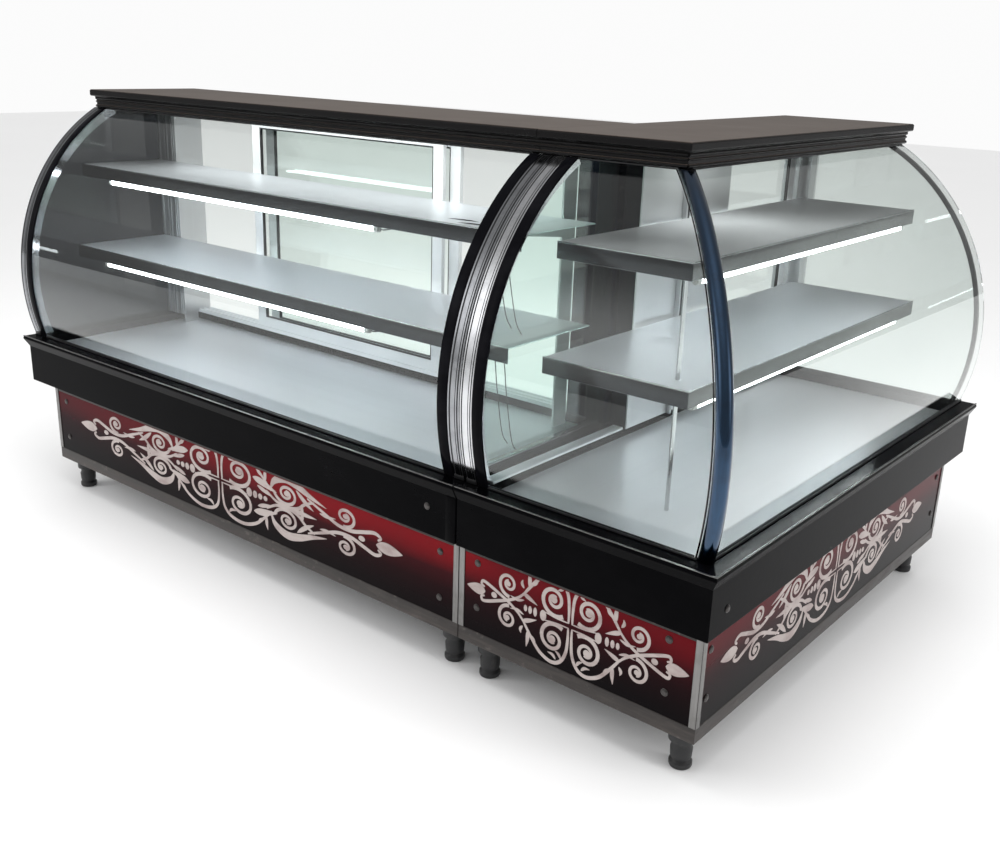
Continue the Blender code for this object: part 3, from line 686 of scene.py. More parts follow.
END_GLASS = ClearGlass("green_end_glass", "glass", (0.74, 0.90, 0.84), (0.70, 0.86, 0.80))
SMOKED = ClearGlass("smoked_end_glass", "smoked_glass", (0.022, 0.024, 0.028), (0.013, 0.015, 0.018), 0.06)
LAMP = Diffuser("lamp_diffuser", "lamp")
RUBBER = Moulded("foot_moulding", "rubber")
GASKET = Moulded("black_gasket", "rubber", (0.008, 0.008, 0.009), (0.030, 0.030, 0.032), 0.35)
WHITE_PLASTIC = Moulded("white_fitting", "white", (0.72, 0.72, 0.70), (0.52, 0.52, 0.50), 0.40)
FLOOR = FloorPaint("studio_floor", "frame")


# ---------------------------------------------------------------- modelling


class Piece:
    """A mesh under construction in a run's directions."""

    def __init__(self, name: str, run: Run) -> None:
        """Start an empty mesh.

        Args:
            name: Name of the finished object.
            run: Run whose directions the mesh is written in.
        """
        self.name = name
        self.run = run
        self.mesh = bmesh.new()

    def block(self, extent: Extent, edge: float = 0.0, segments: int = 2) -> "Piece":
        """Add a rectangular block.

        Args:
            extent: Its box.
            edge: Radius of its rounded edges.
            segments: Steps round each edge.

        Returns:
            This piece.
        """
        place = Matrix.Translation(extent.centre) @ Matrix.Diagonal((*extent.size, 1.0))
        verts = bmesh.ops.create_cube(self.mesh, size=1.0, matrix=place)["verts"]
        if edge:
            self._round(verts, edge, segments)
        return self

    def _round(self, verts: Iterable[bmesh.types.BMVert], edge: float, segments: int) -> None:
        """Bevel every edge between some vertices.

        Args:
            verts: The vertices.
            edge: Radius of the rounded edges.
            segments: Steps round each edge.
        """
        edges = {link for vert in verts for link in vert.link_edges}
        bmesh.ops.bevel(
            self.mesh, geom=list(edges), offset=edge, segments=segments, profile=0.5,
            affect="EDGES", material=-1, clamp_overlap=True,
        )

    def rod(
        self,
        start: Sequence[float],
        end: Sequence[float],
        radius: float,
        sides: int = 20,
        end_radius: float | None = None,
    ) -> "Piece":
        """Add a round bar or a cone between two points.

        Args:
            start: Middle of its first end.
            end: Middle of its second end.
            radius: Radius at the first end.
            sides: Number of sides.
            end_radius: Radius at the second end, the same if left out.

        Returns:
            This piece.
        """
        first, second = Vector(start), Vector(end)
        turn = (second - first).to_track_quat("Z", "Y").to_matrix().to_4x4()
        bmesh.ops.create_cone(
            self.mesh, cap_ends=True, segments=sides, radius1=radius,
            radius2=radius if end_radius is None else end_radius,
            depth=(second - first).length, matrix=Matrix.Translation((first + second) / 2) @ turn,
        )
        return self

    def dome(self, centre: Sequence[float], radius: float, rise: float, sides: int = 20) -> "Piece":
        """Add a domed screw head that looks out of the run, towards less depth.

        Args:
            centre: Middle of its flat back.
            radius: Its radius.
            rise: How far it stands out.
            sides: Number of sides.

        Returns:
            This piece.
        """
        place = Matrix.Translation(Vector(centre)) @ Matrix.Diagonal((radius, rise, radius, 1.0))
        turn = Matrix.Rotation(math.pi / 2, 4, "X")
        made = bmesh.ops.create_uvsphere(
            self.mesh, u_segments=sides, v_segments=sides // 2, radius=1.0, matrix=place @ turn,
        )["verts"]
        geometry = self._linked(made)
        back = bmesh.ops.bisect_plane(
            self.mesh, geom=geometry, plane_co=Vector(centre), plane_no=(0, 1, 0), clear_outer=True,
        )["geom_cut"]
        self._fill(back)
        return self

    @staticmethod
    def _linked(verts: Iterable[bmesh.types.BMVert]) -> list[Geometry]:
        """Collect some vertices with the edges and faces on them.

        Args:
            verts: The vertices.

        Returns:
            The vertices, edges and faces.
        """
        verts = list(verts)
        edges = {link for vert in verts for link in vert.link_edges}
        faces = {link for vert in verts for link in vert.link_faces}
        return [*verts, *edges, *faces]

    def _fill(self, cut: Iterable[Geometry]) -> None:
        """Close the holes that a cut leaves."""
        edges = [item for item in cut if isinstance(item, bmesh.types.BMEdge)]
        bmesh.ops.holes_fill(self.mesh, edges=edges, sides=0)

    def cut(self, point: Sequence[float], outward: Sequence[float]) -> "Piece":
        """Cut the whole piece off beyond a plane, and close it.

        Args:
            point: A point of the plane.
            outward: Direction of the side that is taken away.

        Returns:
            This piece.
        """
        geometry = [*self.mesh.verts, *self.mesh.edges, *self.mesh.faces]
        made = bmesh.ops.bisect_plane(
            self.mesh, geom=geometry, dist=1e-7, plane_co=point, plane_no=outward, clear_outer=True,
        )
        self._fill(made["geom_cut"])
        return self

    def arch(self, outline: Sequence[Point]) -> "Piece":
        """Sweep an outline up the glass curve, level at both ends.

        Args:
            outline: Its corners as (along, inset from the outer curve).

        Returns:
            This piece.
        """
        start, end = CURVE_ANGLES
        ring = [self.mesh.verts.new((along, inset - CURVE_RADIUS, 0.0)) for along, inset in outline]
        face = self.mesh.faces.new(ring)
        centre = Vector((0.0, CURVE_DEPTH, CURVE_HEIGHT))
        lean = Matrix.Translation(centre) @ Matrix.Rotation(-start, 4, "X")
        bmesh.ops.transform(self.mesh, matrix=lean, verts=ring)
        bmesh.ops.spin(
            self.mesh, geom=[face], cent=centre, axis=(1.0, 0.0, 0.0), angle=start - end, steps=CURVE_STEPS,
        )
        return self.level()

    def level(self) -> "Piece":
        """Cut the piece off level, just above the ledge and just under the stone."""
        self.cut((0.0, 0.0, GLASS_BOTTOM), (0.0, 0.0, -1.0))
        return self.cut((0.0, 0.0, GLASS_TOP), (0.0, 0.0, 1.0))

    def sweep(self, ring: Sequence[bmesh.types.BMVert], frames: Sequence[Matrix]) -> "Piece":
        """Carry a closed ring of vertices through a row of frames, as a capped tube.

        Args:
            ring: Vertices of the ring, already placed in the first frame.
            frames: Frames that the ring passes through, from the first.

        Returns:
            This piece.
        """
        first = list({link for vert in ring for link in vert.link_edges})
        last, _ = self.carry(first, frames)
        bmesh.ops.holes_fill(self.mesh, edges=first + last, sides=0)
        return self

    def carry(
        self, edges: list[bmesh.types.BMEdge], frames: Sequence[Matrix]
    ) -> tuple[list[bmesh.types.BMEdge], list[bmesh.types.BMFace]]:
        """Extrude some edges through a row of frames.

        Args:
            edges: The edges, already placed in the first frame.
            frames: Frames that the edges pass through, from the first.

        Returns:
            The edges in the last frame, and the faces made on the way.
        """
        faces = []
        for before, after in zip(frames, frames[1:]):
            made = bmesh.ops.extrude_edge_only(self.mesh, edges=edges)["geom"]
            verts = [item for item in made if isinstance(item, bmesh.types.BMVert)]
            edges = [
                item for item in made
                if isinstance(item, bmesh.types.BMEdge) and all(vert in verts for vert in item.verts)
            ]
            faces += [item for item in made if isinstance(item, bmesh.types.BMFace)]
            bmesh.ops.transform(self.mesh, matrix=after @ before.inverted(), verts=verts)
        return edges, faces

    def tube(self, points: Sequence[Vector], radius: float, sides: int) -> "Piece":
        """Add a round tube along a row of points.

        Args:
            points: The points.
            radius: The tube's radius.
            sides: Number of sides.

        Returns:
            This piece.
        """
        frames = path_frames(points)
        ring = bmesh.ops.create_circle(self.mesh, segments=sides, radius=radius, matrix=frames[0])["verts"]
        return self.sweep(ring, frames)

    def finish(self, finish: Finish, body: Body = Body.CASE, replaces: Sequence[str] = ()) -> None:
        """Turn the mesh into an object that rides on a body.

        Args:
            finish: Its finish.
            body: The body it rides on.
            replaces: CAD nodes that it stands for.
        """
        bmesh.ops.remove_doubles(self.mesh, verts=self.mesh.verts, dist=MERGE_DISTANCE)
        bmesh.ops.transform(self.mesh, matrix=self.run.matrix, verts=self.mesh.verts)
        bmesh.ops.recalc_face_normals(self.mesh, faces=self.mesh.faces)
        data = bpy.data.meshes.new(self.name)
        self.mesh.to_mesh(data)
        self.mesh.free()
        data.shade_smooth()
        data.set_sharp_from_angle(angle=SMOOTH_ANGLE)
        data.materials.append(finish.material)
        made = bpy.data.objects.new(self.name, data)
        bpy.context.collection.objects.link(made)
        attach(made, body.value)
        if replaces:
            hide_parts(*replaces)
        made.visible_shadow = casts_shadow(finish)
        LOG.info("%s: %d faces on %s", self.name, len(data.polygons), body.value)


def casts_shadow(finish: Finish) -> bool:
    """Whether a finish stops light: all do but the clear glass."""
    return not isinstance(finish, ClearGlass) or finish is SMOKED


def path_frames(points: Sequence[Vector]) -> list[Matrix]:
    """Frames along a row of points, each with Z along the path and no twist.

    Args:
        points: The path's points.

    Returns:
        One frame for each point.
    """
    frames = []
    turn = (points[1] - points[0]).to_track_quat("Z", "Y")
    for number, point in enumerate(points):
        before, after = points[max(number - 1, 0)], points[min(number + 1, len(points) - 1)]
        direction = (after - before).normalized()
        turn = (turn @ Vector((0, 0, 1))).rotation_difference(direction) @ turn
        frames.append(Matrix.Translation(point) @ turn.to_matrix().to_4x4())
    return frames


def smooth_route(points: Sequence[Vector], steps: int = 6) -> list[Vector]:
    """Smooth curve through some points.

    Args:
        points: Points that it passes through.
        steps: Steps between two points.

    Returns:
        The curve's points.
    """
    knots = [2 * points[0] - points[1], *points, 2 * points[-1] - points[-2]]
    route = []
    for a, b, c, d in zip(knots, knots[1:], knots[2:], knots[3:]):
        for step in range(steps):
            t = step / steps
            bend = (2 * a - 5 * b + 4 * c - d) * t + (3 * b - a - 3 * c + d) * t**2
            route.append(b + ((c - a) + bend) * (t / 2))
    return [*route, points[-1]]


def dress_node(node: str, finish: Finish, edge: float) -> None:
    """Give a CAD node a finish and softened edges.

    Args:
        node: Name of the CAD node.
        finish: Its finish.
        edge: Radius of its softened edges, none if 0.
    """
    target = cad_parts[node]
    target.data.materials.clear()
    target.data.materials.append(finish.material)
    if edge:
        weld = target.modifiers.new("joined", "WELD")
        weld.merge_threshold = 1e-5
        soften = target.modifiers.new("soft_edges", "BEVEL")
        soften.width = edge
        soften.segments = 2
        soften.limit_method = "ANGLE"
        soften.angle_limit = SMOOTH_ANGLE
        soften.use_clamp_overlap = True
    target.visible_shadow = casts_shadow(finish)
    LOG.info("%s dressed as %s", node, finish.name)


# ---------------------------------------------------------------- scroll ornament


class Taper(Enum):
    """How the width of a scroll line changes along it."""

    ENDS = "ends"
    LEAF = "leaf"
    CURL = "curl"

    def share(self, place: float) -> float:
        """Share of the full width at a place along the line.

        Args:
            place: The place, from 0 at the start to 1 at the end.

        Returns:
            The share there.
        """
        if self is Taper.ENDS:
            return 0.45 + 0.55 * math.sin(math.pi * place) ** 0.6
        if self is Taper.LEAF:
            return 0.04 + 0.96 * math.sin(math.pi * place**0.8) ** 0.9
        return 1.0 - 0.40 * place


@dataclass(frozen=True)
class Line:
    """A scroll line through a few points, as (out from the centre, away from the axis)."""

    points: tuple[Point, ...]
    width: float = 0.0075
    taper: Taper = Taper.ENDS
    steps: int = 7

    def path(self) -> list[tuple[Vector, float]]:
        """Points along a smooth curve, each with its width.

        Returns:
            The points and widths, from the line's start.
        """
        route = smooth_route([Vector(point) for point in self.points], self.steps)
        places = [number / (len(route) - 1) for number in range(len(route))]
        return [(point, self.width * self.taper.share(place)) for point, place in zip(route, places)]


@dataclass(frozen=True)
class Volute:
    """A spiral line that winds in to its eye."""

    centre: Point
    radius: float
    start: float
    turns: float = 1.55
    eye: float = 0.0085
    width: float = 0.0078
    steps: int = 44

    def path(self) -> list[tuple[Vector, float]]:
        """Points along the spiral, each with its width.

        Returns:
            The points and widths, from the outside in.
        """
        path = []
        for number in range(self.steps + 1):
            place = number / self.steps
            radius = self.radius * (self.eye / self.radius) ** place
            angle = math.radians(self.start + 360 * self.turns * place)
            point = Vector(self.centre) + radius * Vector((math.cos(angle), math.sin(angle)))
            path.append((point, self.width * Taper.CURL.share(place)))
        return path


@dataclass(frozen=True)
class Bead:
    """A round or oval bead of the scroll."""

    centre: Point
    half_length: float
    half_height: float


Mark = Line | Volute | Bead

# Marks of the two scrolls: those that all four quarters repeat, and those on the level axis
MIDDLE_QUARTER = (
    Volute((0.045, 0.047), 0.0405, -128.0, 1.70, 0.0090, 0.0092),
    Bead((0.046, 0.048), 0.0088, 0.0088),
    Line(((0.005, 0.006), (0.005, 0.036), (0.009, 0.070), (0.024, 0.096), (0.048, 0.104), (0.078, 0.092),
          (0.101, 0.068), (0.118, 0.046), (0.131, 0.028)), 0.0080),
    Line(((0.003, 0.006), (0.036, 0.0065), (0.070, 0.010)), 0.0035),
    Line(((0.021, 0.088), (0.027, 0.078), (0.037, 0.073)), 0.0065, Taper.LEAF),
    Line(((0.034, 0.094), (0.043, 0.085), (0.057, 0.083)), 0.0065, Taper.LEAF),
    Line(((0.114, 0.054), (0.113, 0.072), (0.116, 0.094)), 0.0090, Taper.LEAF),
    Line(((0.108, 0.060), (0.096, 0.070), (0.090, 0.086)), 0.0075, Taper.LEAF),
    Line(((0.130, 0.034), (0.114, 0.028), (0.090, 0.018)), 0.0095, Taper.LEAF),
    Line(((0.128, 0.046), (0.134, 0.056), (0.132, 0.066)), 0.0070, Taper.LEAF),
)
END_QUARTER = (
    Line(((0.122, 0.040), (0.141, 0.020), (0.167, 0.004), (0.200, -0.010), (0.232, -0.022), (0.246, -0.024),
          (0.249, -0.015), (0.240, -0.011)), 0.0070),
    Line(((0.126, 0.018), (0.146, 0.012), (0.166, 0.016)), 0.0060, Taper.LEAF),
    Volute((0.171, 0.042), 0.0310, -95.0, 1.50, 0.0078),
    Bead((0.172, 0.042), 0.0062, 0.0062),
)
MIDDLE_AXIS = (
    Bead((0.073, 0.0), 0.0085, 0.0130),
    Bead((0.095, 0.0), 0.0050, 0.0110),
    Bead((0.109, 0.0), 0.0050, 0.0095),
    Bead((0.122, 0.0), 0.0046, 0.0080),
)
END_AXIS = (
    Bead((0.212, 0.0), 0.0080, 0.0072),
    Line(((0.238, 0.0), (0.262, 0.0), (0.292, 0.0)), 0.0240, Taper.LEAF),
)
LONG_QUARTER = (
    Volute((0.057, 0.047), 0.046, -128.0, 1.70, 0.0095, 0.0095),
    Bead((0.058, 0.048), 0.0098, 0.0098),
    Line(((0.006, 0.006), (0.006, 0.045), (0.012, 0.078), (0.032, 0.097), (0.068, 0.102), (0.104, 0.086),
          (0.132, 0.056), (0.152, 0.030)), 0.0085),
    Line(((0.003, 0.005), (0.040, 0.0055), (0.080, 0.009)), 0.0035),
    Line(((0.024, 0.086), (0.032, 0.076), (0.046, 0.074)), 0.0075, Taper.LEAF),
    Line(((0.100, 0.050), (0.128, 0.043), (0.168, 0.030)), 0.0170, Taper.LEAF),
    Line(((0.112, 0.030), (0.132, 0.022), (0.158, 0.013)), 0.0100, Taper.LEAF),
    Line(((0.137, 0.052), (0.136, 0.070), (0.139, 0.090)), 0.0100, Taper.LEAF),
    Line(((0.129, 0.062), (0.118, 0.070), (0.110, 0.082)), 0.0085, Taper.LEAF),
    Volute((0.195, 0.038), 0.0350, -172.0, 1.75, 0.0080, 0.0084),
    Bead((0.196, 0.039), 0.0074, 0.0074),
    Line(((0.150, 0.036), (0.163, 0.064), (0.194, 0.080), (0.228, 0.072), (0.262, 0.056), (0.302, 0.042)),
         0.0190, Taper.LEAF),
    Line(((0.138, 0.026), (0.166, 0.006), (0.200, 0.0015), (0.226, 0.010), (0.246, 0.030), (0.270, 0.044)),
         0.0080),
    Line(((0.222, 0.060), (0.246, 0.036), (0.268, 0.020)), 0.0110, Taper.LEAF),
    Line(((0.236, 0.000), (0.237, 0.012), (0.236, 0.026)), 0.0100, Taper.LEAF),
    Line(((0.252, 0.049), (0.290, 0.030), (0.330, 0.011), (0.364, 0.009), (0.396, 0.020), (0.422, 0.029),
          (0.437, 0.021), (0.430, 0.012)), 0.0086),
    Line(((0.284, 0.022), (0.304, 0.020), (0.326, 0.024)), 0.0070, Taper.LEAF),
    Volute((0.350, 0.041), 0.0285, -100.0, 1.50, 0.0075, 0.0082),
    Bead((0.351, 0.042), 0.0066, 0.0066),
)
LONG_AXIS = (
    Bead((0.088, 0.0), 0.0080, 0.0130),
    Bead((0.105, 0.0), 0.0062, 0.0105),
    Bead((0.120, 0.0), 0.0060, 0.0085),
    Bead((0.135, 0.0), 0.0055, 0.0070),
    Line(((0.206, 0.0), (0.236, 0.0), (0.276, 0.0)), 0.0110, Taper.LEAF),
    Bead((0.391, 0.0), 0.0080, 0.0072),
    Line(((0.426, 0.0), (0.456, 0.0), (0.488, 0.0)), 0.0260, Taper.LEAF),
)


@dataclass(frozen=True)
class ScrollOrnament:
    """Silver scroll on a base panel, the same in all four quarters and cut off at the panel's top."""

    name: str
    run: Run
    centre: Point
    quarter: tuple[Mark, ...]
    axis: tuple[Mark, ...]
    stretch: float = 1.0
    weight: float = 1.0
    film: float = 0.0003
    film_step: float = 0.000004
    seat: float = 0.00002
    bead_sides: int = 18
    top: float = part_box("a_front_panel")[1].z - 0.0015

    def build(self) -> None:
        """Lay every mark in each quarter, cut at the panel's top."""
        piece = Piece(self.name, self.run)
        marks = [(mark, side) for mark in self.quarter for side in (-1, 1)]
        marks += [(mark, 1) for mark in self.axis]
        copies = [(mark, side, hand) for mark, side in marks for hand in (-1, 1)]
        for layer, (mark, side, hand) in enumerate(copies):
            face = PANEL_FACE - self.film - layer * self.film_step
            lay = self._lay_bead if isinstance(mark, Bead) else self._lay_stroke
            self._thicken(piece, lay(piece, mark, hand, side, face), face)
        piece.cut((0.0, 0.0, self.top), (0.0, 0.0, 1.0))
        piece.finish(INLAY)

    def _lay_bead(
        self, piece: Piece, bead: Bead, hand: int, side: int, face: float
    ) -> list[bmesh.types.BMFace]:
        """Lay the flat outline of one bead on the panel.

        Args:
            piece: Piece that takes it.
            bead: The bead.
            hand: Side of the middle, -1 or 1.
            side: Side of the axis, -1 or 1.
            face: Depth of its outer face.

        Returns:
            Its flat faces.
        """
        out, away = bead.centre
        place = Matrix.Translation(self._place(out, away, hand, side, face))
        size = Matrix.Diagonal((bead.half_length * self.stretch, 1.0, bead.half_height, 1.0))
        turn = Matrix.Rotation(math.pi / 2, 4, "X")
        bmesh.ops.create_circle(
            piece.mesh, cap_ends=True, segments=self.bead_sides, radius=1.0, matrix=place @ size @ turn,
        )
        piece.mesh.faces.ensure_lookup_table()
        return [piece.mesh.faces[-1]]

    def _lay_stroke(
        self, piece: Piece, stroke: Line | Volute, hand: int, side: int, face: float
    ) -> list[bmesh.types.BMFace]:
        """Lay the flat band of one line or volute on the panel.

        Args:
            piece: Piece that takes it.
            stroke: The line or volute.
            hand: Side of the middle, -1 or 1.
            side: Side of the axis, -1 or 1.
            face: Depth of its outer face.

        Returns:
            Its flat faces.
        """
        path = [(self._place(point.x, point.y, hand, side, face), width) for point, width in stroke.path()]
        frames = []
        for number, (point, width) in enumerate(path):
            before, after = path[max(number - 1, 0)][0], path[min(number + 1, len(path) - 1)][0]
            angle = math.atan2(after.z - before.z, after.x - before.x)
            size = Matrix.Diagonal((1.0, 1.0, width * self.weight, 1.0))
            frames.append(Matrix.Translation(point) @ Matrix.Rotation(-angle, 4, "Y") @ size)
        ends = [piece.mesh.verts.new(frames[0] @ Vector((0.0, 0.0, half))) for half in (-0.5, 0.5)]
        _, faces = piece.carry([piece.mesh.edges.new(ends)], frames)
        return faces

    def _place(self, out: float, away: float, hand: int, side: int, face: float) -> Vector:
        """Place of a point of the ornament on the panel."""
        return Vector((self.centre[0] - hand * out * self.stretch, face, self.centre[1] + side * away))

    def _thicken(self, piece: Piece, faces: list[bmesh.types.BMFace], face: float) -> None:
        """Give some flat faces a thickness that reaches the panel.

        Args:
            piece: Piece that has them.
            faces: The flat faces.
            face: Their depth.
        """
        made = bmesh.ops.extrude_face_region(piece.mesh, geom=faces, use_keep_orig=True)["geom"]
        verts = [item for item in made if isinstance(item, bmesh.types.BMVert)]
        bmesh.ops.translate(piece.mesh, verts=verts, vec=(0.0, PANEL_FACE - self.seat - face, 0.0))


LONG_SCROLL = ScrollOrnament(
    "a_scroll", Run.FRONT, (1.553, 0.252), LONG_QUARTER, LONG_AXIS, stretch=1.45, weight=1.2,
)
FRONT_SCROLL = ScrollOrnament(
    "b_front_scroll", Run.FRONT, (0.3455, 0.249), MIDDLE_QUARTER + END_QUARTER, MIDDLE_AXIS + END_AXIS,
    weight=1.12,
)
SIDE_SCROLL = ScrollOrnament(
    "b_side_scroll", Run.SIDE, (0.680, 0.256), LONG_QUARTER, LONG_AXIS, stretch=1.17, weight=1.15,
)


# ---------------------------------------------------------------- base


@dataclass(frozen=True)
class Bases:
    """Welded bases with their laminate panels, corner trims, screws and feet."""

    frames: tuple[str, ...] = ("a_base_frame", "b_base_frame")
    panels: tuple[str, ...] = (
        "a_front_panel", "a_left_panel", "b_front_panel", "b_side_panel", "b_end_panel",
    )
    trim_width: float = 0.0155
    trim_thickness: float = 0.0012
    trim_height: Span = (0.1365, 0.3435)
    screw_radius: float = 0.0075
    screw_rise: float = 0.0032
    washer: float = 0.0012
    foot_count: int = 4
    front_trims: tuple[float, ...] = (0.0282, 0.6462, 0.6645, 2.384)
    side_trims: tuple[float, ...] = (0.0282, 1.384)
    front_screws: tuple[Point, ...] = (
        (0.105, 0.311), (0.105, 0.190), (0.608, 0.311), (0.608, 0.199), (0.723, 0.303), (0.724, 0.184),
        (2.340, 0.303), (2.340, 0.184),
    )
    side_screws: tuple[Point, ...] = ((0.062, 0.305), (0.062, 0.194), (1.350, 0.305), (1.350, 0.194))
    front_fascia_screws: tuple[Point, ...] = ((0.752, 0.414),)
    side_fascia_screws: tuple[Point, ...] = ((0.082, 0.393),)

    def build(self) -> None:
        """Dress the bases and add their small parts."""
        for node in self.frames:
            dress_node(node, FRAME, 0.0015)
        for node in self.panels:
            dress_node(node, LAMINATE, 0.0004)
        for case in "ab":
            for number in range(1, self.foot_count + 1):
                self._foot(f"{case}_foot_{number}")
        self._trims()
        self._screws()

    def _foot(self, node: str) -> None:
        """Turned foot with a threaded neck and a soft pad, in place of the plain one.

        Args:
            node: The CAD foot that it stands for.
        """
        box = Extent.of(node, Run.FRONT)
        middle, radius, top = box.centre, box.size.x / 2 - 0.005, box.height[1]
        profile = (
            (0.0, 0.0), (radius - 0.005, 0.0), (radius - 0.0015, 0.0015), (radius, 0.005),
            (radius, 0.013), (radius - 0.002, 0.016), (radius - 0.004, 0.020), (radius - 0.002, 0.025),
            (radius - 0.001, 0.045), (radius - 0.004, 0.052), (radius - 0.004, 0.060),
            (radius + 0.0045, 0.065), (radius + 0.005, 0.068), (radius + 0.005, top - 0.003),
            (radius + 0.0035, top), (0.0, top),
        )
        piece = Piece(f"{node}_turned", Run.FRONT)
        verts = [piece.mesh.verts.new((middle.x + out, middle.y, height)) for out, height in profile]
        edges = [piece.mesh.edges.new(pair) for pair in zip(verts, verts[1:])]
        bmesh.ops.spin(
            piece.mesh, geom=[*verts, *edges], cent=(middle.x, middle.y, 0.0), axis=(0.0, 0.0, 1.0),
            angle=math.tau, steps=36, use_merge=True,
        )
        piece.finish(RUBBER, replaces=(node,))

    def _trims(self) -> None:
        """Grey angle trims on the corner posts of both bases."""
        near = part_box("b_front_panel")[0].y - NEAR_CORNER.y - 0.001
        depth = (near - self.trim_thickness, near - 0.0001)
        for run, starts in ((Run.FRONT, self.front_trims), (Run.SIDE, self.side_trims)):
            for number, start in enumerate(starts, start=1):
                extent = Extent((start, start + self.trim_width), depth, self.trim_height)
                Piece(f"base_trim_{run.value}_{number}", run).block(extent, 0.0005).finish(TRIM)

    def _screws(self) -> None:
        """Domed screws on the panels and the fascia."""
        groups = (
            ("panel_screws_front", Run.FRONT, self.front_screws, PANEL_FACE),
            ("panel_screws_side", Run.SIDE, self.side_screws, PANEL_FACE),
            ("fascia_screws_front", Run.FRONT, self.front_fascia_screws, FASCIA_FACE),
            ("fascia_screws_side", Run.SIDE, self.side_fascia_screws, FASCIA_FACE),
        )
        for name, run, places, face in groups:
            piece = Piece(name, run)
            for along, height in places:
                front = (along, face - self.washer, height)
                back = (along, face - 0.0001, height)
                piece.rod(front, back, self.screw_radius + self.washer)
                piece.dome(front, self.screw_radius, self.screw_rise)
            piece.finish(SCREW)


# ---------------------------------------------------------------- trays and deck


@dataclass(frozen=True)
class Trays:
    """Black trays, steel decks and the bright strips along their edges, a painted highlight on the ledges'
    front edges.
    """

    highlight_strip_height: float = 0.0016
    highlight_strip_depth: Span = (0.0006, 0.0052)
    cap_width: float = 0.030
    pane_depth: Span = (0.075, 0.598)

    def build(self) -> None:
        """Dress the trays and the decks and add their painted highlight strips."""
        dress_node("a_tray", BLACK, 0.0015)
        dress_node("b_tray", BLACK, 0.0015)
        dress_node("a_deck", STEEL_FRONT, 0.0008)
        dress_node("b_deck", STEEL_SIDE, 0.0008)
        a_tray = Extent.of("a_tray", Run.FRONT)
        b_front = Extent.of("b_tray", Run.FRONT)
        b_side = Extent.of("b_tray", Run.SIDE)
        # Grey metal strips along the front of the black ledges: painted highlight of the ledge's edge.
        height = (LEDGE_TOP + 0.0001, LEDGE_TOP + self.highlight_strip_height)
        spans = (
            ("a_ledge_highlight_strip", Run.FRONT, (a_tray.along[0] + 0.001, a_tray.along[1] - 0.001)),
            ("b_ledge_highlight_strip_front", Run.FRONT, (0.006, b_front.along[1] - 0.001)),
            ("b_ledge_highlight_strip_side", Run.SIDE, (0.001, b_side.along[1] - 0.001)),
        )
        for name, run, along in spans:
            extent = Extent(along, self.highlight_strip_depth, height)
            Piece(name, run).block(extent, 0.0005).finish(TRIM)
        seam = a_tray.along[0]
        plate = Extent((seam + 0.0006, seam + self.cap_width), (0.0118, 0.0129), (0.3455, 0.4560))
        Piece("a_fascia_end_plate", Run.FRONT).block(plate, 0.0004).finish(BLACK)
        self._partition(seam)

    def _partition(self, seam: float) -> None:
        """Bright channel that holds the pane between the two cases.

        Args:
            seam: Place of the joint between the cases.
        """
        near, far = Extent.of("a_right_glass", Run.FRONT).along
        depth = self.pane_depth
        foot = LEDGE_TOP + 0.0002
        height = (foot, LEDGE_TOP + 0.010)
        piece = Piece("partition_channel", Run.FRONT)
        piece.block(Extent((near - 0.0045, near - 0.0004), depth, height), 0.0005)
        piece.block(Extent((far + 0.0004, far + 0.0045), depth, height), 0.0005)
        piece.finish(BRIGHT)
        cover = Extent((far + 0.006, far + 0.030), depth, (foot, LEDGE_TOP + 0.0014))
        Piece("partition_cover", Run.FRONT).block(cover, 0.0004).finish(BRIGHT)
        inner = Extent((seam - 0.058, seam - 0.028), depth, (foot, LEDGE_TOP + 0.0070))
        Piece("partition_rail", Run.FRONT).block(inner, 0.0015).finish(STEEL_SIDE)


# ---------------------------------------------------------------- glass housing


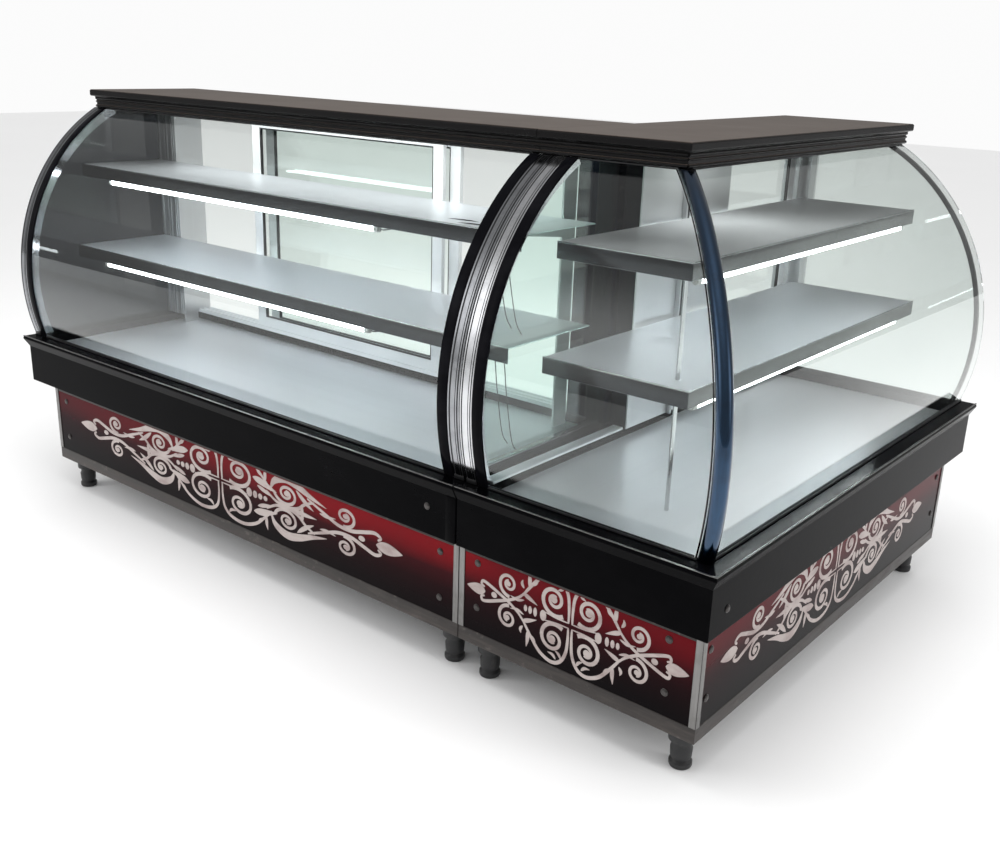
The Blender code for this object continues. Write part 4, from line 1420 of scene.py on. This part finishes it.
@dataclass(frozen=True)
class GlassHousing:
    """Curved glass, its ribs, black borders and gaskets."""

    border_width: float = 0.030
    border_proud: float = 0.0015
    border_edge: float = 0.0030
    rib_depth: float = 0.045
    groove_depth: float = 0.0024
    groove_shade_depth: float = 0.0010
    tube_radius: float = 0.017
    tube_inset: float = 0.012
    tube_sides: int = 32
    gasket: float = 0.0045
    clip_height: float = 0.012
    end_gasket: Span = (0.0190, 0.0297)

    def build(self) -> None:
        """Build the ribs, the glass, the borders and the gaskets."""
        a_right = Extent.of("a_right_rib", Run.FRONT).along
        a_left = Extent.of("a_left_rib", Run.FRONT).along
        b_left = Extent.of("b_left_rib", Run.FRONT).along
        self._rib("a_right_rib", a_right, ((0.0030, 0.0040), (0.0105, 0.0022), (0.0250, 0.0045)), CHROME_PAINTED_SHADE)
        self._rib("b_left_rib", b_left, ((0.0030, 0.0030), (0.0100, 0.0018), (0.0270, 0.0035)), BRIGHT)
        self._rib("a_left_rib", a_left, ((0.0040, 0.0045), (0.0115, 0.0025), (0.0260, 0.0050)), CHROME_PAINTED_SHADE)
        self._border("a_right_border", Run.FRONT, (a_right[1] + GAP, a_right[1] + self.border_width))
        self._border("a_left_border", Run.FRONT, (a_left[0] - self.border_width, a_left[0] - GAP))
        self._border("b_left_border", Run.FRONT, (b_left[0] - self.border_width, b_left[0] - GAP))
        self._glass("a_front_glass", Run.FRONT, False)
        self._glass("b_front_glass", Run.FRONT, True)
        self._glass("b_side_glass", Run.SIDE, True)
        self._corner_tube()
        self._end_panes()
        self._gaskets()

    def _rib(self, node: str, along: Span, grooves: Sequence[Span], finish: Finish) -> None:
        """Channel rib with drawn grooves in its outer face, darkened inside by black strips as painted shade,
        in place of the plain one.

        Args:
            node: The CAD rib that it stands for.
            along: Its two sides.
            grooves: Start of each groove, measured from its first side, and its width.
            finish: Its finish.
        """
        low, high = along
        edge = 0.0015
        outline = [(low, self.rib_depth), (low, edge), (low + edge, 0.0)]
        # Black strips down inside the grooves: painted shade in the recesses.
        seals = Piece(f"{node}_groove_shade_strips", Run.FRONT)
        for start, width in grooves:
            near, far = low + start, low + start + width
            outline += [(near, 0.0), (near, self.groove_depth), (far, self.groove_depth), (far, 0.0)]
            seal = (
                (near + GAP, self.groove_depth - 0.0001), (near + GAP, self.groove_shade_depth),
                (far - GAP, self.groove_shade_depth), (far - GAP, self.groove_depth - 0.0001),
            )
            seals.arch(seal)
        outline += [(high - edge, 0.0), (high, edge), (high, self.rib_depth)]
        Piece(f"{node}_channel", Run.FRONT).arch(outline).finish(finish, replaces=(node,))
        seals.finish(GASKET)
        foot = LEDGE_TOP + 0.0002
        front = curve_depth(foot) - 0.0035
        clip = Extent((low + 0.003, high - 0.003), (front, front + 0.010), (foot, foot + self.clip_height))
        Piece(f"{node}_clip", Run.FRONT).block(clip, 0.0012).finish(GASKET)

    def _border(self, name: str, run: Run, along: Span) -> None:
        """Black moulding over a glass edge.

        Args:
            name: Name of the piece.
            run: Its run.
            along: Its two sides.
        """
        low, high = along
        inner = GLASS_INSET - 0.0001
        outer = -self.border_proud
        edge = self.border_edge
        turn = 0.3 * edge
        outline = (
            (low, inner), (low, outer + edge), (low + turn, outer + turn), (low + edge, outer),
            (high - edge, outer), (high - turn, outer + turn), (high, outer + edge), (high, inner),
        )
        Piece(name, run).arch(outline).finish(BORDER)

    def _glass(self, node: str, run: Run, mitred: bool) -> None:
        """Curved pane, in place of the coarser one.

        Args:
            node: The CAD pane that it stands for.
            run: Its run.
            mitred: Whether it ends on the mitre behind the corner tube.
        """
        start, end = Extent.of(node, run).along
        if mitred:
            start = 0.0
        inner = GLASS_INSET + GLASS_THICKNESS
        outline = ((start, GLASS_INSET), (end, GLASS_INSET), (end, inner), (start, inner))
        piece = Piece(f"{node}_pane", run).arch(outline)
        if mitred:
            offset = math.sqrt(2.0) * self.tube_radius + 2 * GAP
            piece.cut((offset, 0.0, 0.0), Vector((-1.0, 1.0, 0.0)).normalized())
        piece.finish(GLASS, replaces=(node,))

    def _corner_tube(self) -> None:
        """Round blue tube up the mitre of the two curved fronts."""
        low, high = CURVE_ANGLES
        points = []
        for step in range(CURVE_STEPS + 1):
            height = CURVE_HEIGHT + CURVE_RADIUS * math.sin(low + (high - low) * step / CURVE_STEPS)
            depth = curve_depth(height) + self.tube_inset
            points.append(Vector((depth, depth, height)))
        piece = Piece("b_corner_rib_tube", Run.FRONT).tube(points, self.tube_radius, self.tube_sides)
        piece.level().finish(BLUE, replaces=("b_corner_rib",))

    def _end_panes(self) -> None:
        """Flat end panes and the gasket round the far one."""
        dress_node("a_right_glass", END_GLASS, 0.0)
        dress_node("a_left_glass", SMOKED, 0.0)
        dress_node("b_end_glass", GLASS, 0.0)
        pane = Extent.of("b_end_glass", Run.SIDE).along
        outer, inner = self.end_gasket
        low, high = pane[0] - 0.0025, pane[1] + 0.0025
        outline = ((low, outer), (high, outer), (high, inner), (low, inner))
        Piece("b_end_gasket", Run.SIDE).arch(outline).finish(GASKET)

    def _gaskets(self) -> None:
        """Black gaskets where the curved panes meet the ledge and the stone."""
        bottom, top = LEDGE_TOP + 0.0002, SLAB_BOTTOM - 0.0002
        ledge = curve_depth(bottom, GLASS_INSET)
        stone = curve_depth(top, GLASS_INSET)
        mitre = math.sqrt(2.0) * self.tube_radius
        rows = (
            ("a", Run.FRONT, Extent.of("a_front_glass", Run.FRONT).along, 0.0),
            ("b_front", Run.FRONT, Extent.of("b_front_glass", Run.FRONT).along, mitre),
            ("b_side", Run.SIDE, Extent.of("b_side_glass", Run.SIDE).along, mitre),
        )
        for name, run, (start, end), clearance in rows:
            low = max(start, ledge + clearance) if clearance else start
            foot = Extent((low, end), (ledge - self.gasket, ledge - 0.0002), (bottom, bottom + self.gasket))
            Piece(f"{name}_ledge_gasket", run).block(foot, 0.0012).finish(GASKET)
            inside = ledge + GLASS_THICKNESS + 0.002
            behind = Extent((low + 0.01, end), (inside, inside + self.gasket), (bottom, bottom + self.gasket))
            Piece(f"{name}_inner_gasket", run).block(behind, 0.0012).finish(GASKET)
            high = max(start, stone + clearance) if clearance else start
            head = Extent((high, end), (stone - self.gasket, stone - 0.0004), (top - self.gasket, top))
            Piece(f"{name}_stone_gasket", run).block(head, 0.0012).finish(GASKET)


# ---------------------------------------------------------------- stone top


@dataclass(frozen=True)
class StoneTop:
    """Stone slabs with the beads of their set-back moulding."""

    bead_heights: tuple[float, ...] = (1.2235, 1.2135, 1.2000)
    bead_radii: tuple[float, ...] = (0.0045, 0.0030, 0.0042)
    inset: float = 0.014

    def build(self) -> None:
        """Dress the slabs and run the beads round their moulded sides."""
        dress_node("a_slab", STONE, 0.0012)
        dress_node("b_slab", STONE, 0.0012)
        a_slab = Extent.of("a_slab", Run.FRONT)
        b_side = Extent.of("b_slab", Run.SIDE)
        face = a_slab.depth[0] + self.inset
        left = a_slab.along[1] - self.inset
        far = b_side.along[1] - self.inset
        rear = a_slab.depth[1]
        long_route = (
            Vector((a_slab.along[0], face, 0.0)), Vector((left, face, 0.0)), Vector((left, rear, 0.0)),
        )
        self._beads("a_slab_beads", Run.FRONT, long_route)
        corner = Vector((face, face, 0.0))
        front_route = (corner, Vector((a_slab.along[0] - 0.0006, face, 0.0)))
        self._beads("b_slab_beads_front", Run.FRONT, front_route)
        side_route = (corner, Vector((far, face, 0.0)), Vector((far, b_side.depth[1], 0.0)))
        self._beads("b_slab_beads_side", Run.SIDE, side_route)

    def _beads(self, name: str, run: Run, route: Sequence[Vector]) -> None:
        """Three stacked beads along a route.

        Args:
            name: Name of the piece.
            run: Run of the route.
            route: Its corners, at floor level.
        """
        piece = Piece(name, run)
        for height, radius in zip(self.bead_heights, self.bead_radii):
            rise = Vector((0.0, 0.0, height))
            for start, end in zip(route, route[1:]):
                piece.rod(start + rise, end + rise, radius, 14)
        piece.finish(STONE)


# ---------------------------------------------------------------- shelves and lamps


class Level(Enum):
    """The two levels of shelves."""

    UPPER = "upper"
    LOWER = "lower"


@dataclass(frozen=True)
class Shelves:
    """Steel shelves whose folded fronts are darkened as painted shade, with bright edges, lamps and brackets.
    """

    fold: float = 0.038
    shade_cover: float = 0.0012
    bead: float = 0.0017
    cap_length: float = 0.014
    cap_radius: float = 0.0092
    lead_radius: float = 0.0013
    lead_drops: tuple[Point, ...] = ((0.830, 0.330), (0.775, 0.300))
    sheet: float = 0.003

    def build(self) -> None:
        """Dress the shelves and add their edges and lamp fittings."""
        for level in Level:
            self._long_shelf(level)
            self._return_shelf(level)
        for node in ("a_left_stand", "a_right_stand", "b_near_stand", "b_far_stand"):
            dress_node(node, STEEL_UPRIGHT, 0.0010)
        dress_node("b_corner_rod", BRIGHT, 0.0)
        self._leads()

    def _long_shelf(self, level: Level) -> None:
        """Shelf of the long case.

        Args:
            level: Its level.
        """
        node = f"a_{level.value}_shelf"
        dress_node(node, STEEL_FRONT, 0.0010)
        box = Extent.of(node, Run.FRONT)
        self._edge(f"{node}_nosing", Run.FRONT, box.along, box.depth[0], box.height[1], STEEL_FOLD_SHADE_FRONT)
        self._lamp(f"a_{level.value}_lamp", Run.FRONT)

    def _return_shelf(self, level: Level) -> None:
        """Shelf of the return case, with an edge on its front and its side.

        Args:
            level: Its level.
        """
        node = f"b_{level.value}_shelf"
        dress_node(node, STEEL_SIDE, 0.0010)
        front, side = Extent.of(node, Run.FRONT), Extent.of(node, Run.SIDE)
        top = front.height[1]
        self._edge(f"{node}_nosing_front", Run.FRONT, front.along, front.depth[0], top, STEEL_FOLD_SHADE_FRONT)
        self._edge(f"{node}_nosing_side", Run.SIDE, side.along, side.depth[0], top, STEEL_FOLD_SHADE_SIDE)
        self._lamp(f"b_{level.value}_lamp", Run.SIDE)

    def _edge(self, name: str, run: Run, along: Span, front: float, top: float, finish: Finish) -> None:
        """Dark cover over a folded edge as painted shade, with a bright bead along its top.

        Args:
            name: Name of the cover.
            run: Its run.
            along: Its two ends.
            front: Depth of the fold's face.
            top: Height of the shelf's top.
            finish: Finish of the cover.
        """
        # The cover is a dark sheet over the steel fold: painted shade.
        cover = Extent(
            (along[0] - self.shade_cover, along[1]), (front - self.shade_cover, front - 0.0001),
            (top - self.fold + 0.0005, top - 0.0015),
        )
        Piece(name, run).block(cover, 0.0005).finish(finish)
        start, end = [(place, front, top - 0.0004) for place in along]
        Piece(f"{name}_bead", run).rod(start, end, self.bead, 12).finish(BRIGHT)

    def _lamp(self, node: str, run: Run) -> None:
        """Glowing tube with an end cap and two clips at each end.

        Args:
            node: The CAD lamp.
            run: Its run.
        """
        dress_node(node, LAMP, 0.0)
        box = Extent.of(node, run)
        middle = box.centre
        piece = Piece(f"{node}_caps", run)
        for end, way in ((box.along[0], -1.0), (box.along[1], 1.0)):
            start = (end + way * 0.0003, middle.y, middle.z)
            stop = (end + way * self.cap_length, middle.y, middle.z)
            piece.rod(start, stop, self.cap_radius, 18, self.cap_radius * 0.86)
            pin = (end + way * (self.cap_length + 0.005), middle.y, middle.z)
            piece.rod(stop, pin, self.cap_radius * 0.4, 12)
        piece.finish(WHITE_PLASTIC)

    def _leads(self) -> None:
        """Thin lamp leads that hang from each shelf of the long case, near its right end."""
        floor_of = {Level.UPPER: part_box("a_lower_shelf")[1].z, Level.LOWER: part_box("a_deck")[1].z}
        for level in Level:
            shelf = Extent.of(f"a_{level.value}_shelf", Run.FRONT)
            lamp = Extent.of(f"a_{level.value}_lamp", Run.FRONT)
            top = shelf.height[1] - self.sheet - self.lead_radius
            foot = floor_of[level] + self.lead_radius
            start = Vector((lamp.along[0] - self.cap_length - 0.005, lamp.centre.y, lamp.centre.z))
            for number, (along, depth) in enumerate(self.lead_drops, start=1):
                points = (
                    start,
                    start + Vector((-0.03, 0.002, 0.004)),
                    Vector((along + 0.16, depth - 0.03, top)),
                    Vector((along + 0.03, depth - 0.01, top)),
                    Vector((along, depth, top - 0.05)),
                    Vector((along - 0.010, depth + 0.006, (top + foot) / 2)),
                    Vector((along - 0.022, depth + 0.016, foot + 0.035)),
                    Vector((along - 0.030, depth + 0.030, foot)),
                )
                name = f"a_{level.value}_lamp_lead_{number}"
                Piece(name, Run.FRONT).tube(smooth_route(points), self.lead_radius, 8).finish(GASKET)


# ---------------------------------------------------------------- back of the cases


@dataclass(frozen=True)
class RearWall:
    """Posts, the steel sheet of the return case, its upright and its socket."""

    groove: float = 0.004
    cover: float = 0.0012
    margin: float = 0.001
    fold_shares: tuple[float, ...] = (0.06, 0.34, 0.50, 0.80)
    fold_width: float = 0.010
    upright_width: float = 0.024
    upright_foot: float = 0.700
    slot_shares: Span = (0.30, 0.62)
    slot_pitch: float = 0.025
    slot_size: Point = (0.0035, 0.012)
    socket_centre: Point = (0.842, 0.778)
    socket_size: Point = (0.056, 0.070)

    def build(self) -> None:
        """Dress the posts and add the covers, the upright and the socket."""
        dress_node("a_left_post", STEEL_UPRIGHT, 0.0020)
        dress_node("a_right_post", NAVY, 0.0020)
        dress_node("b_inner_post", GREY_POST, 0.0020)
        dress_node("b_end_post", STEEL_UPRIGHT, 0.0020)
        dress_node("b_steel_panel", STEEL_UPRIGHT, 0.0008)
        post = Extent.of("a_right_post", Run.FRONT)
        middle = post.centre.x
        face = post.depth[0]
        half = Extent(
            (post.along[0] + self.margin, middle - self.groove / 2), (face - self.cover, face - 0.0001),
            (post.height[0] + self.margin, post.height[1] - self.margin),
        )
        Piece("a_right_post_cover", Run.FRONT).block(half, 0.0005).finish(GREY_POST)
        seal = Extent(
            (middle - self.groove / 2 + 0.0002, middle + self.groove / 2), (face - 0.0006, face - 0.0001),
            half.height,
        )
        Piece("a_right_post_groove", Run.FRONT).block(seal, 0.0002).finish(GASKET)
        self._left_folds()
        self._slotted_upright()
        self._socket()

    def _left_folds(self) -> None:
        """Raised folds down the face of the left steel post."""
        post = Extent.of("a_left_post", Run.FRONT)
        face = post.depth[0]
        piece = Piece("a_left_post_folds", Run.FRONT)
        height = (post.height[0] + self.margin, post.height[1] - self.margin)
        for share in self.fold_shares:
            start = post.along[0] + share * post.size.x
            extent = Extent((start, start + self.fold_width), (face - 0.0030, face - 0.0001), height)
            piece.block(extent, 0.0012)
        piece.finish(STEEL_UPRIGHT)

    def _slotted_upright(self) -> None:
        """Dark slotted upright that the return shelves hang on, with dark blocks on its face where the slots
        are, as painted shade.
        """
        stand = Extent.of("b_near_stand", Run.SIDE)
        panel = Extent.of("b_steel_panel", Run.SIDE)
        start = stand.along[1] + 0.001
        face = panel.depth[0]
        extent = Extent(
            (start, start + self.upright_width), (face - 0.0045, face - 0.0002),
            (self.upright_foot, panel.height[1] - self.margin),
        )
        Piece("b_slotted_upright", Run.SIDE).block(extent, 0.0008).finish(GREY_POST)
        # Painted shade: the slots are dark blocks laid on the upright's face.
        piece = Piece("b_upright_slot_shade", Run.SIDE)
        wide, tall = self.slot_size
        rows = int((extent.size.z - 0.03) / self.slot_pitch)
        for row in range(rows):
            low = extent.height[0] + 0.015 + row * self.slot_pitch
            for side in self.slot_shares:
                left = start + side * self.upright_width
                slot = Extent((left, left + wide), (face - 0.0048, face - 0.0044), (low, low + tall))
                piece.block(slot)
        piece.finish(GASKET)

    def _socket(self) -> None:
        """Socket plate on the steel sheet, with dark discs where its holes are, as painted shade."""
        panel = Extent.of("b_steel_panel", Run.SIDE)
        along, height = self.socket_centre
        wide, tall = self.socket_size
        face = panel.depth[0]
        extent = Extent(
            (along - wide / 2, along + wide / 2), (face - 0.003, face - 0.0002),
            (height - tall / 2, height + tall / 2),
        )
        Piece("b_socket_plate", Run.SIDE).block(extent, 0.0012).finish(STEEL_UPRIGHT)
        # Painted shade: the socket's holes are dark discs laid on the plate.
        holes = Piece("b_socket_hole_shade", Run.SIDE)
        for rise in (-0.012, 0.012):
            centre = (along, face - 0.0030, height + rise)
            holes.rod(centre, (along, face - 0.0036, height + rise), 0.0052, 16)
        for side, rise in ((-0.018, 0.024), (0.018, 0.024), (-0.018, -0.024), (0.018, -0.024)):
            centre = (along + side, face - 0.0030, height + rise)
            holes.rod(centre, (along + side, face - 0.0034, height + rise), 0.0022, 12)
        holes.finish(GASKET)


@dataclass(frozen=True)
class SlidingDoor:
    """A white framed sliding door with its pane and seals."""

    prefix: str
    run: Run
    body: Body
    seal: float = 0.0035
    seal_edge: float = 0.0008

    def build(self) -> None:
        """Dress the door and seal its pane on both faces."""
        frame_node, glass_node = f"{self.prefix}_frame", f"{self.prefix}_glass"
        dress_node(frame_node, WHITE, 0.0015)
        dress_node(glass_node, GLASS, 0.0)
        outer, pane = Extent.of(frame_node, self.run), Extent.of(glass_node, self.run)
        piece = Piece(f"{self.prefix}_seals", self.run)
        faces = (
            (outer.depth[0] + 0.001, pane.depth[0] - 0.0001),
            (pane.depth[1] + 0.0001, outer.depth[1] - 0.001),
        )
        (left, right), (low, high) = pane.along, pane.height
        between = (left + self.seal, right - self.seal)
        sides = (
            ((left, left + self.seal), (low, high)),
            ((right - self.seal, right), (low, high)),
            (between, (low, low + self.seal)),
            (between, (high - self.seal, high)),
        )
        for depth in faces:
            for along, height in sides:
                piece.block(Extent(along, depth, height), self.seal_edge)
        piece.finish(GASKET, self.body)


@dataclass(frozen=True)
class RearDoors:
    """The three sliding doors and their tracks."""

    doors: tuple[SlidingDoor, ...] = (
        SlidingDoor("a_left_door", Run.FRONT, Body.LEFT_DOOR),
        SlidingDoor("a_right_door", Run.FRONT, Body.RIGHT_DOOR),
        SlidingDoor("b_door", Run.SIDE, Body.RETURN_DOOR),
    )
    tracks: tuple[str, ...] = ("a_bottom_track", "a_top_track", "b_bottom_track", "b_top_track")

    def build(self) -> None:
        """Dress the tracks and build each door's finish."""
        for node in self.tracks:
            dress_node(node, WHITE, 0.0006)
        for door in self.doors:
            door.build()


# ---------------------------------------------------------------- studio


@dataclass(frozen=True)
class SoftLight:
    """A rectangular studio lamp that looks at a point."""

    name: str
    place: tuple[float, float, float]
    target: tuple[float, float, float]
    size: Point
    power: float

    def build(self) -> None:
        """Hang the lamp, which lights the showcase but isn't seen in it."""
        data = bpy.data.lights.new(self.name, "AREA")
        data.shape = "RECTANGLE"
        data.size, data.size_y = self.size
        data.energy = self.power
        lamp = bpy.data.objects.new(self.name, data)
        lamp.visible_glossy = False
        lamp.visible_transmission = False
        lamp.visible_camera = False
        lamp.location = self.place
        lamp.rotation_mode = "QUATERNION"
        lamp.rotation_quaternion = (Vector(self.target) - Vector(self.place)).to_track_quat("-Z", "Y")
        bpy.context.collection.objects.link(lamp)


@dataclass(frozen=True)
class Glow:
    """A wide soft brightness of the room that only reflections see."""

    towards: tuple[float, float, float]
    strength: float
    tightness: float


@dataclass(frozen=True)
class Studio:
    """Plain pale floor, soft lights and the camera."""

    camera_place: tuple[float, float, float] = (2.114, -2.494, 1.4205)
    camera_look: tuple[float, float, float] = (-0.5953, 0.7371, -0.3198)
    camera_roll: float = math.radians(1.92)
    camera_lens: float = 39.95
    sensor_width: float = 36.0
    floor_half: float = 18.0
    backdrop: float = 0.97
    in_gloss: float = 0.30
    through_glass: float = 0.78
    glows: tuple[Glow, ...] = (
        Glow((-0.75, -0.95, 0.45), 1.5, 26.0),
        Glow((1.0, 0.30, 0.35), 1.3, 30.0),
        Glow((0.1, -0.3, 1.0), 0.55, 6.0),
    )
    lights: tuple[SoftLight, ...] = (
        SoftLight("overhead", (0.2, -0.6, 3.4), (0.1, 0.1, 0.6), (3.2, 2.4), 60.0),
        SoftLight("front_left", (-2.6, -3.4, 2.2), (0.0, 0.0, 0.6), (0.7, 2.2), 30.0),
        SoftLight("long_case_fill", (-0.25, -0.30, 1.19), (-0.25, -0.26, 0.0), (1.5, 0.22), 5.0),
        SoftLight("return_case_fill", (0.75, 0.05, 1.19), (0.79, 0.05, 0.0), (0.22, 0.95), 4.0),
        SoftLight("right", (4.4, 0.4, 2.0), (0.9, 0.2, 0.6), (0.7, 2.2), 26.0),
    )

    def build(self) -> None:
        """Set up the floor, the room, the lights and the camera."""
        self._floor()
        self._room()
        for light in self.lights:
            light.build()
        self._camera()
        bpy.context.scene.view_settings.view_transform = "Standard"

    def _floor(self) -> None:
        """Pale floor under the showcase."""
        mesh = bmesh.new()
        bmesh.ops.create_grid(mesh, x_segments=1, y_segments=1, size=self.floor_half)
        data = bpy.data.meshes.new("floor")
        mesh.to_mesh(data)
        mesh.free()
        data.materials.append(FLOOR.material)
        floor = bpy.data.objects.new("floor", data)
        bpy.context.collection.objects.link(floor)

    def _room(self) -> None:
        """Room light: a white backdrop, dimmer in reflections but for a few soft glows."""
        world = bpy.data.worlds.new("studio")
        world.use_nodes = True
        bpy.context.scene.world = world
        world.cycles.sampling_method = "NONE"
        tree = world.node_tree
        background = tree.nodes["Background"]
        path = tree.nodes.new("ShaderNodeLightPath")
        strength: float | bpy.types.NodeSocket = self.backdrop
        for ray, level in (("Is Glossy Ray", self.in_gloss), ("Is Transmission Ray", self.through_glass)):
            change = level - self.backdrop
            strength = self._math(tree, "MULTIPLY_ADD", path.outputs[ray], change, strength)
        for glow in self.glows:
            facing = tree.nodes.new("ShaderNodeVectorMath")
            facing.operation = "DOT_PRODUCT"
            facing.inputs[1].default_value = Vector(glow.towards).normalized()
            tree.links.new(tree.nodes.new("ShaderNodeTexCoord").outputs["Generated"], facing.inputs[0])
            kept = self._math(tree, "MAXIMUM", facing.outputs["Value"], 0.0)
            shaped = self._math(tree, "POWER", kept, glow.tightness)
            scaled = self._math(tree, "MULTIPLY", shaped, glow.strength)
            strength = self._math(tree, "MULTIPLY_ADD", path.outputs["Is Glossy Ray"], scaled, strength)
        background.inputs["Color"].default_value = (1.0, 1.0, 1.0, 1.0)
        tree.links.new(strength, background.inputs["Strength"])

    @staticmethod
    def _math(
        tree: bpy.types.NodeTree, operation: str, *inputs: float | bpy.types.NodeSocket
    ) -> bpy.types.NodeSocket:
        """Add one Math node to the room's node tree.

        Args:
            tree: The node tree.
            operation: The node's operation.
            inputs: Numbers or sockets that feed it, in order.

        Returns:
            The node's result.
        """
        made = tree.nodes.new("ShaderNodeMath")
        made.operation = operation
        for socket, value in zip(made.inputs, inputs):
            if isinstance(value, bpy.types.NodeSocket):
                tree.links.new(value, socket)
            else:
                socket.default_value = value
        return made.outputs[0]

    def _camera(self) -> None:
        """Camera at standing eye level off the near corner."""
        data = bpy.data.cameras.new("camera")
        data.sensor_width = self.sensor_width
        data.lens = self.camera_lens
        camera = bpy.data.objects.new("camera", data)
        look = Vector(self.camera_look).to_track_quat("-Z", "Y")
        camera.rotation_mode = "QUATERNION"
        camera.rotation_quaternion = look @ Quaternion((0.0, 0.0, 1.0), self.camera_roll)
        camera.location = self.camera_place
        bpy.context.collection.objects.link(camera)
        bpy.context.scene.camera = camera


def main() -> None:
    """Build the studio and every sub-assembly in order."""
    logging.basicConfig(level=logging.INFO, format="%(name)s %(message)s")
    parts: tuple[tuple[str, Callable[[], None]], ...] = (
        ("studio", Studio().build),
        ("bases", Bases().build),
        ("long ornament", LONG_SCROLL.build),
        ("front ornament", FRONT_SCROLL.build),
        ("side ornament", SIDE_SCROLL.build),
        ("trays", Trays().build),
        ("glass housing", GlassHousing().build),
        ("stone top", StoneTop().build),
        ("shelves", Shelves().build),
        ("rear wall", RearWall().build),
        ("rear doors", RearDoors().build),
    )
    for name, build in parts:
        build()
        LOG.info("%s built", name)


if __name__ == "__main__":
    main()
